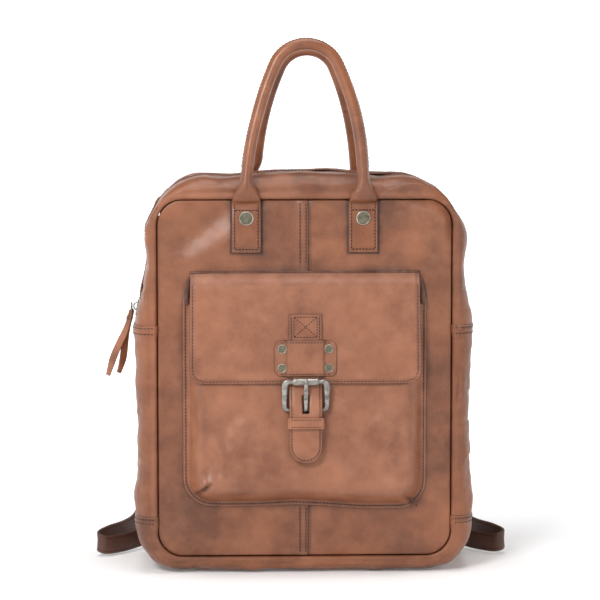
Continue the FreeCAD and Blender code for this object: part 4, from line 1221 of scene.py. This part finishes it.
piece.sheet(points, 1.7, 0.5 * np.exp(-from_edge / 1.1) + 0.3 * bump_at(np.abs(x), billet_half + 2.4, 1.4),
            edge_shade=0.95)
piece.finish("patch_leather", "flap", trim_leather, "trim_leather", "strap_patch")
for row in (patch_s[0] + 2.2, patch_s[1] - 2.2):
    run = np.linspace(-patch_half + 6, patch_half - 6, 60)
    height = FLAP_N + 2.05 + 2.55 * smooth(billet_half + 3.6, billet_half + 0.2, np.abs(run))
    threads.stitches(closure(height, row, run), CLOSURE_OUT, pitch=2.8, radius=0.34)
threads.finish("closure_stitches", "flap", thread, "trim_leather")


def rivet(name, centre, out, radius, body, replaced=()):
    """Dished antique rivet with a bright rolled rim."""
    cap = Piece()
    cap.lathe([(0, 0.9), (radius * 0.5, 0.8), (radius * 0.74, 0.62), (radius * 0.8, 0.8),
               (radius * 0.78, -0.6), (0, -0.6)], centre, out, 36)
    cap.finish(name + "_disc", body, antique, "rivet_metal")
    rim = Piece()
    turn = np.radians(np.arange(0, 360, 10))
    side = unit(np.cross(out, [1.0, 0, 0]))
    other = np.cross(out, side)
    spokes = np.cos(turn)[:, None] * side + np.sin(turn)[:, None] * other
    ring = centre + spokes * radius * 0.9 + np.array(out) * 0.55
    rim.tube(ring, out, 0.95, radius * 0.1, sides=10, closed=True)
    rim.finish(name + "_rim", body, nickel, "rivet_metal", *replaced)


rivet_x = patch_half - 7.5
spots = [(x_at, s_at) for x_at in (-rivet_x, rivet_x) for s_at in (48.0, 66.0)]
for count, (x_at, s_at) in enumerate(spots):
    rivet("patch_rivet_%d" % count, closure(FLAP_N + 2.2, s_at, x_at), CLOSURE_OUT, 4.3, "flap",
          ("patch_rivets",) if count == 0 else ())

# keeper loop
keeper_in = billet_half + 1.0
front_n = over - 0.6
loop = np.array([[-keeper_in, front_n - 4], [-keeper_in, front_n - 0.6], [-keeper_in + 2.0, front_n + 1.1],
                 [0, front_n + 1.5], [keeper_in - 2.0, front_n + 1.1], [keeper_in, front_n - 0.6],
                 [keeper_in, front_n - 4], [keeper_in - 2, 1.6], [0, 1.3], [-keeper_in + 2, 1.6]])
ring = smooth_path(np.vstack([loop, loop[:1]]), 90)[:-1]
keep_s = 118.0
path = closure(ring[:, 1], keep_s, ring[:, 0])
piece = Piece()
piece.tube(path, closure(0, 1) - closure(0, 0), 5.2, 0.85, sides=20, power=6, closed=True)
piece.finish("keeper_leather", "flap", trim_leather, "trim_leather", "keeper_loop")
piece = Piece()
run = np.linspace(-keeper_in + 2, keeper_in - 2, 40)
height = front_n + 1.5 + 0.8 - 0.4 * (run / keeper_in) ** 2
for shift in (-3.4, 3.4):
    piece.stitches(closure(height, keep_s + shift, run), CLOSURE_OUT, 2.6, radius=0.34, rise=0.05)
piece.finish("keeper_stitches", "flap", thread, "trim_leather")

# buckle
bar, top = joint_place("buckle_tilt") * [0, 1, 1], joint_place("roller_spin") * [0, 1, 1]
up = unit(top - bar)
rise = np.linalg.norm(top - bar)
face = unit(np.cross([1.0, 0, 0], up))
face = face * (-1 if face[1] > 0 else 1)
arm_x = billet_half + 4.3
# the frame's left half, each (x, distance above the bar, half width of the cast metal)
loop = [(-12, 0, 1.75), (-arm_x + 4, -0.1, 1.8), (-arm_x + 0.6, 1.2, 2.3), (-arm_x, 5, 2.45),
        (-arm_x - 0.1, rise * 0.5, 2.6), (-arm_x, rise - 5, 2.9), (-arm_x + 0.7, rise - 1.2, 3.0),
        (-arm_x + 4.2, rise + 0.35, 2.5), (-12.6, rise, 1.8)]
loop += [(-x_at, z_at, half_wide) for x_at, z_at, half_wide in reversed(loop)]
flat = smooth_path(loop + loop[:1], 140)[:-1]
path = flat[:, :1] * [1.0, 0, 0] + bar + flat[:, 1:2] * up
across = np.cross(face, unit(np.roll(path, -1, 0) - np.roll(path, 1, 0)))
piece = Piece()
piece.tube(path, across, flat[:, 2], 1.75 + 0.12 * (flat[:, 2] - 1.8), sides=20, power=2.7, closed=True)
piece.finish("buckle_cast_frame", "buckle", pewter, "buckle_metal", "buckle_frame")
for side in (-1, 1):
    loop_turn = np.radians(np.linspace(-75, 255, 16))
    wrap = [bar - up * 16 - face * 1.2, bar - up * 8 - face * 1.9]
    wrap += [bar + up * 2.75 * math.sin(a) - face * 2.75 * math.cos(a) for a in loop_turn[3:-3]]
    wrap += [bar - up * 8 + face * 1.0, bar - up * 16 + face * 0.6]
    chape = Piece()
    path = smooth_path(np.array(wrap) + [side * (billet_half - 6.6), 0, 0], 70)
    chape.tube(path, [1, 0, 0], 4.4, 0.65, sides=16, power=5, shade=0.3)
    chape.finish("chape_leather_" + SIDE_NAMES[side], "flap", trim_leather, "trim_leather",
                 *(("chape",) if side < 0 else ()))
half_roller = (high("buckle_roller")[0] - low("buckle_roller")[0]) / 2
radius = (high("buckle_roller")[1] - low("buckle_roller")[1]) / 2
piece = Piece()
shape = [(2.0, -half_roller), (radius - 0.5, -half_roller), (radius - 0.12, -half_roller + 0.5),
         (radius, -half_roller + 1.4), (radius - 0.06, -6), (radius - 0.08, 0), (radius - 0.06, 6),
         (radius, half_roller - 1.4), (radius - 0.12, half_roller - 0.5), (radius - 0.5, half_roller),
         (2.0, half_roller)]
piece.lathe(shape, top, [1, 0, 0], 40)
piece.finish("buckle_rolling_tube", "roller", pewter, "buckle_metal", "buckle_roller")
piece = Piece()
turn = np.radians(np.linspace(200, -20, 12))[:, None]
curl = bar + up * 2.75 * np.sin(turn) + face * 2.75 * np.cos(turn)
shank = [bar + up * a + face * b for a, b in (
    (6, 3.4), (rise * 0.5, radius + 0.9), (rise - 2, radius + 1.55), (rise + 1.4, radius + 1.5),
    (rise + 3.2, radius + 1.0))]
path = smooth_path(np.vstack([curl[2:], shank]), 60)
t = np.linspace(0, 1, 60)
piece.tube(path, [1, 0, 0], 2.15 - 0.45 * smooth(0.6, 1, t), 1.12 - 0.25 * smooth(0.8, 1, t),
           sides=16, power=2.8)
piece.finish("buckle_tongue", "prong", pewter, "buckle_metal", "buckle_prong")

# ---- grab handles and their riveted tabs ----
tab_high, tab_low = high("front_handle_tabs")[2], low("front_handle_tabs")[2]
handle_hinge = joint_place("front_handle_fold")
LEAN = math.radians(9.0)
TUBE = 5.7
foot = middle("front_handle_core")[0] + FOOT
crown_z = (high("front_handle_cover")[2] - handle_hinge[2] - 6.2 * math.cos(LEAN)) / math.cos(LEAN)
crown_r = 32.0
crown = crown_z - crown_r
side_r = (foot ** 2 + crown ** 2 - crown_r ** 2) / (2 * (foot - crown_r))
side_cx = side_r - foot
meet = math.atan2(crown, -side_cx)
turn = np.linspace(math.pi, meet, 60)
left_arc = np.stack([side_cx + side_r * np.cos(turn), side_r * np.sin(turn)], -1)
turn = np.linspace(meet, math.pi - meet, 50)
crown_arc = np.stack([crown_r * np.cos(turn), crown + crown_r * np.sin(turn)], -1)
arch = np.vstack([left_arc, crown_arc[1:-1], left_arc[::-1] * [-1, 1]])
tab_half = (high("front_handle_tabs")[0] - low("front_handle_tabs")[0] - 2 * foot) / 2
TAB_RISE = 1.0 + 1.25


def over_hinge(tab_end, arch_end, arch_next):
    """The bend that joins a flat tab to the round handle."""
    points = [tab_end, tab_end + [0, -0.8, 4.5], arch_end + [0, 1.4, -4.5], arch_next]
    return smooth_path(points, 14)[1:-1]


for turn, place in ((1, "front"), (-1, "rear")):
    height = arch[:, 1] / crown_z
    rise = smooth(0.04, 0.6, height)
    sway, pinch, sag = (2.0, 0.0, 1.5) if turn > 0 else (5.8, 0.106, 7.5)
    rise = rise if turn > 0 else smooth(-0.02, 0.2, height)
    hang_x, hang_z = arch[:, 0] * (1 - pinch * rise) + sway * rise, arch[:, 1] - sag * height ** 2
    arch3 = np.stack([hang_x, handle_hinge[1] + hang_z * math.sin(LEAN),
                      handle_hinge[2] + hang_z * math.cos(LEAN)], -1)
    z = spaced(tab_low + 0.4, tab_high - 6, 2.4, (0.6, 1.4), ())
    if turn > 0:
        tab_y = front_surface(-foot, z, TAB_RISE)[:, 1]
    else:
        tab_y = -(back_y + rear_swell(0 * z + foot, z) + TAB_RISE)
    left_tab = np.stack([0 * z - foot, tab_y, z], -1)
    knee = over_hinge(left_tab[-1], arch3[0], arch3[3])
    if turn > 0:
        right_y = front_surface(foot, z, TAB_RISE)[:, 1]
    else:
        right_y = tab_y
    right_tab = np.stack([0 * z + foot, right_y, z], -1)
    knee_right = over_hinge(right_tab[-1], arch3[-1], arch3[-4])
    path = np.vstack([left_tab, knee, arch3[3:-3], knee_right[::-1], right_tab[::-1]])
    from_hinge = path[:, 2] - handle_hinge[2]
    flat_share = smooth(14, -8, from_hinge)
    wide = TUBE + (tab_half - TUBE) * flat_share + 0.12 * np.sin(lengths(path) / 23)
    thick = TUBE + (1.25 - TUBE) * smooth(2, -13, from_hinge)
    normal = np.array([0, -math.cos(LEAN), math.sin(LEAN)])
    along = unit(np.gradient(path, axis=0))
    across = np.cross(along, normal)
    flip = np.array([1, turn, 1])
    piece = Piece()
    rows_shade = 0.28 * bump_at(from_hinge, 4, 9) + 0.3 * smooth(-50, -53, from_hinge)
    piece.tube(path * flip, across * flip, wide, thick, sides=28,
               power=2 + 4.5 * smooth(4, -12, from_hinge), shade=rows_shade, cap=0.5)
    handle = piece.finish(place + "_handle_leather", None, handle_leather, "handle_leather",
                          place + "_handle_cover", place + "_handle_tabs")
    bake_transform(handle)
    threads, seams = Piece(), Piece()
    inner = path - across * (wide + 0.05)[:, None]
    pick = from_hinge > 22
    seams.stitches((inner * flip)[pick], (-across * flip)[pick], pitch=3.6, radius=0.36)
    seams.finish(place + "_handle_stitches", place + "_handle", thread, "trim_leather")
    rope = Piece()
    middle_line = arch3[2:-2] * flip
    frame_across = (np.cross(unit(np.gradient(arch3, axis=0)), normal) * flip)[2:-2]
    frame_up = np.cross(frame_across, unit(np.gradient(middle_line, axis=0)))
    twist = lengths(middle_line) / 6.5
    for strand in range(3):
        phase = twist + strand * 2 * math.pi / 3
        twirl = frame_across * np.cos(phase)[:, None] + frame_up * np.sin(phase)[:, None]
        rope.tube(middle_line + twirl * 2.0, frame_across, 2.1, 2.1, sides=10)
    rope.finish(place + "_handle_rope", place + "_handle", core_rope, "rope_core", place + "_handle_core")
    for side, base in ((-1, left_tab), (1, right_tab)):
        run_z = np.arange(tab_low + 3, tab_high - 2.5, 1.5)
        surface = np.interp(run_z, base[:, 2], base[:, 1]) - 1.3
        cross = np.linspace(-tab_half + 2.4, tab_half - 2.4, 16)
        rows = [np.stack([0 * run_z + side * foot + x_at, surface, run_z], -1)
                for x_at in (-tab_half + 2.3, tab_half - 2.3)]
        for z_at in (tab_low + 2.8, tab_high - 9.5):
            y_at = np.interp(z_at, base[:, 2], base[:, 1]) - 1.3
            rows.append(np.stack([side * foot + cross, 0 * cross + y_at, 0 * cross + z_at], -1))
        for row in rows:
            threads.stitches(row * flip, [0, -turn, 0], pitch=3.1, radius=0.55)
        rivet_z = tab_high - 17.0
        y_at = np.interp(rivet_z, base[:, 2], base[:, 1]) - 1.5
        centre = np.array([side * foot, y_at, rivet_z]) * flip
        rivet(place + "_rivet_" + SIDE_NAMES[side], centre, np.array([0.0, -turn, 0]), 6.9, "root",
              (place + "_handle_rivets",) if side < 0 else ())
        backing_half = tab_half + 1.7
        rows = spaced(tab_low - 1.7, tab_high - 1, 1.6, (0.4, 1.0), (0.4, 1.0))
        x = np.linspace(-backing_half, backing_half, 16)
        grid_x, grid_z = np.broadcast_arrays(side * foot + x[None, :], rows[:, None])
        if turn > 0:
            grid = front_surface(grid_x, grid_z, 1.1)
        else:
            grid = np.stack([grid_x, back_y + rear_swell(-grid_x, grid_z) + 1.1, grid_z], -1)
        piece = Piece()
        piece.sheet(grid, 1.1, 0.4, edge_shade=0.9)
        piece.finish(place + "_tab_edge_" + SIDE_NAMES[side], "root", edge_leather, "edge_leather",
                     *((place + "_tab_backings",) if side < 0 else ()))
    threads.finish(place + "_tab_stitches", "root", thread, "trim_leather")

# ---- shoulder straps ----
strap_back = back_y + 8.5
anchor_low, anchor_high = low("strap_anchor_right"), high("strap_anchor_right")
for side, name in ((1, "right"), (-1, "left")):
    flip = np.array([side, 1, 1])
    top_point = np.array([24.0, strap_back, high("shoulder_strap_right")[2] - 1])
    high_end, low_end = np.array([106.0, back_y + 43, 110]), np.array([150.0, back_y + 39, 46])
    path = smooth_path([top_point, (42, back_y + 16.5, 288), (62, back_y + 31.0, 236),
                        (84, back_y + 40, 170), high_end + [0, 0, 3]], 120)
    t = np.linspace(0, 1, 120)
    wide = 11.5 + 6.7 * smooth(0.03, 0.4, t) - 8.0 * smooth(0.8, 1.0, t)
    thick = 1.5 + 3.0 * smooth(0.05, 0.35, t) * smooth(1.0, 0.82, t)
    piece = Piece()
    piece.tube(path * flip, [1, 0, 0], wide, thick + 0.12 * np.sin(26 * t), sides=36, power=3.2,
               shade=0.3 * bump_at(t, 0, 0.03))
    strap = piece.finish("padded_strap_" + name, name + "_strap", body_leather, "body_leather",
                         "shoulder_strap_" + name)
    along = unit(np.gradient(path, axis=0))
    out = unit(np.cross(along, [1.0, 0, 0]))
    out = out * np.where(out[:, 1:2] < 0, -1, 1)
    threads = Piece()
    raised = out * (thick * 0.86)[:, None]
    for mirror in (-1, 1):
        run = path + np.array([1.0, 0, 0]) * (mirror * (wide - 3.0))[:, None] + raised
        threads.stitches((run * flip)[4:-4], (out * flip)[4:-4], pitch=3.6, radius=0.42, rise=0.15)
    threads.finish("strap_stitches_" + name, name + "_strap", thread, "trim_leather")
    width = 9.0
    run_down = unit(low_end - high_end)
    slanted = np.array([-run_down[2], 0, run_down[0]])
    level = np.array([0, 0, 1])
    stations = [(high_end + np.array([-5, 0, 7]), slanted)]
    stations += [(high_end * (1 - share) + low_end * share, slanted) for share in (0.2, 0.5, 0.85)]
    stations.append((np.array([160, back_y + 30, 27.0]), np.array([0.4, 0, 0.9])))
    stations += [(np.array([x_at, y_at, z_at]), level) for x_at, y_at, z_at in (
        (174, back_y + 10, 20.0), (191, back_y - 14, 18.0), (200, back_y - 28, 14.5),
        (192, back_y - 32, 10.8), (174, back_y - 14, 10.2), (159, back_y + 3, 12.0),
        (143.5, strap_back, 16.0), (130.0, back_y + 4.6, 16.0))]
    joined = smooth_path([np.concatenate([p, a * 30]) for p, a in stations], 150)
    path, across = joined[:, :3], unit(joined[:, 3:])
    piece = Piece()
    piece.tube(path * flip, across * flip, width, 1.35, sides=24, power=6,
               shade=0.12 * np.sin(np.linspace(0, 40, 150)))
    piece.finish("webbing_strap_" + name, name + "_strap", strap_leather, "trim_leather",
                 "lower_strap_" + name)
    out = np.cross(unit(np.gradient(path, axis=0)), across)
    threads = Piece()
    for mirror in (-1, 1):
        for face_side in (-1, 1):
            run = path + across * (mirror * 6.6) + out * face_side * 1.3
            threads.stitches((run * flip)[3:-8], (out * face_side * flip)[3:-8], pitch=3.4, radius=0.38)
    threads.finish("webbing_stitches_" + name, name + "_strap", thread, "trim_leather")
    pad_x = np.linspace(anchor_low[0], anchor_high[0], 18)
    pad_z = spaced(anchor_low[2], anchor_high[2], 1.4, (0.4, 1.0), (0.4, 1.0))
    for layer, depth in ((0, back_y + 2.6), (1, back_y + 7.2)):
        grid = np.stack(np.broadcast_arrays(side * pad_x[None, :], depth, pad_z[:, None]), -1)
        piece = Piece()
        piece.sheet(grid.astype(float), 2.0, 0.2, edge_shade=0.85)
        piece.finish("anchor_pad_%s_%d" % (name, layer), "root", trim_leather, "trim_leather",
                     *(("strap_anchor_" + name,) if layer == 0 else ()))
yoke_low, yoke_high = low("strap_yoke"), high("strap_yoke")
rows = spaced(yoke_low[2], yoke_high[2], 1.6, FINE, FINE)
half = yoke_high[0] - corner_inset(rows, yoke_low[2], yoke_high[2], 8.0, 8.0)
fractions = spaced(-1, 1, 0.05, (0.02, 0.05), (0.02, 0.05))
x = fractions[None, :] * half[:, None]
z = np.repeat(rows[:, None], x.shape[1], 1)
piece = Piece()
piece.sheet(np.stack([x, back_y + rear_swell(-x, z) + 3.0 + 0 * x, z], -1), 2.8, 0.25, edge_shade=0.9)
piece.finish("yoke_leather", "root", trim_leather, "trim_leather", "strap_yoke")
piece = Piece()
run = np.linspace(-yoke_high[0] + 5, yoke_high[0] - 5, 50)
for z_at in (yoke_low[2] + 3, yoke_high[2] - 3):
    run_z = 0 * run + z_at
    piece.stitches(np.stack([run, back_y + rear_swell(-run, run_z) + 3.0, run_z], -1), [0, 1, 0])
piece.finish("yoke_stitches", "root", thread, "trim_leather")

# ---- CAD nodes that stay, with their finishes ----
metal_nodes = ("snap_female", "snap_male", "strap_adjuster_left", "strap_adjuster_right")
for names, material in ((metal_nodes, nickel), (("base_board",), board)):
    for name in names:
        node = frame["nodes"][name]
        node.data.materials.clear()
        node.data.materials.append(material)

# ---- floor, light and camera ----
plain = Paint("studio_white", Base_Color=(0.9, 0.9, 0.9, 1), Roughness=0.9, Emission_Color=(1, 1, 1, 1))
plain.bump(plain.noise(30.0), 0.0001, 0.1)
split = plain.nodes.new("ShaderNodeSeparateXYZ")
plain.link(plain.place, split.inputs[0])
# painted light: the floor glows, faintly under the bag and more strongly further back, which washes out
# the key light's shadow behind the bag
plain.link(plain.ramp(split.outputs["Y"], 0.12, 0.7, 0.08, 0.8), plain.shader.inputs["Emission Strength"])
# a round dish, each (radius, height): flat under the bag, with a rim far away on every side
dish = np.array([[20, -1.0], [600, -1.0], [1500, -1.0], [3000, -1.0],
                 [3250, 40], [3500, 180], [3700, 480], [3800, 1500.0]])
turn = np.radians(np.arange(0, 360, 5))
rings = np.stack([dish[:, :1] * np.cos(turn), dish[:, :1] * np.sin(turn), dish[:, 1:] + 0 * turn], -1)
number = np.arange(rings[..., 0].size).reshape(rings.shape[:2])
sweep = Piece()
sweep.add(rings, [ring_quads(number), number[:1]])
floor = sweep.finish("studio_sweep", None, plain.material, None)


def soft_light(name, place, target, size, watts, tall=None):
    """A soft box at a place, turned towards its target."""
    light = bpy.data.lights.new(name, "AREA")
    light.shape = "RECTANGLE"
    light.size, light.size_y = size, tall or size
    light.energy = watts
    obj = bpy.data.objects.new(name, light)
    obj.location = place
    obj.rotation_euler = (Vector(target) - Vector(place)).to_track_quat("-Z", "Y").to_euler()
    bpy.context.scene.collection.objects.link(obj)


soft_light("key", (-0.9, -1.8, 1.5), (0, 0, 0.25), 0.6, 38)
soft_light("fill", (1.3, -2.1, 0.7), (0, 0, 0.22), 1.0, 9)
soft_light("top", (0, -0.1, 2.2), (0, 0, 0), 1.3, 26)
soft_light("left_edge", (-1.8, -0.5, 0.6), (0, 0, 0.25), 0.3, 5, 1.4)
soft_light("right_edge", (1.7, 0.1, 0.7), (0, 0, 0.25), 0.5, 4, 1.4)
world = bpy.data.worlds.new("soft_room")
world.use_nodes = True
background = world.node_tree.nodes["Background"]
background.inputs["Color"].default_value = (1, 1, 1, 1)
background.inputs["Strength"].default_value = 0.16
bpy.context.scene.world = world
bpy.context.scene.view_settings.view_transform = "Standard"

camera = bpy.data.cameras.new("camera")
camera.lens, camera.sensor_width = 161.0, 36.0
eye = bpy.data.objects.new("camera", camera)
turn, tilt, away = math.radians(-2.0), math.radians(5.5), 2.6
back = Vector((math.sin(turn) * math.cos(tilt), -math.cos(turn) * math.cos(tilt), math.sin(tilt)))
eye.location = Vector((-0.0024, 0, 0.2553)) + back * away
eye.rotation_euler = (-back).to_track_quat("-Z", "Y").to_euler()
bpy.context.scene.collection.objects.link(eye)
bpy.context.scene.camera = eye
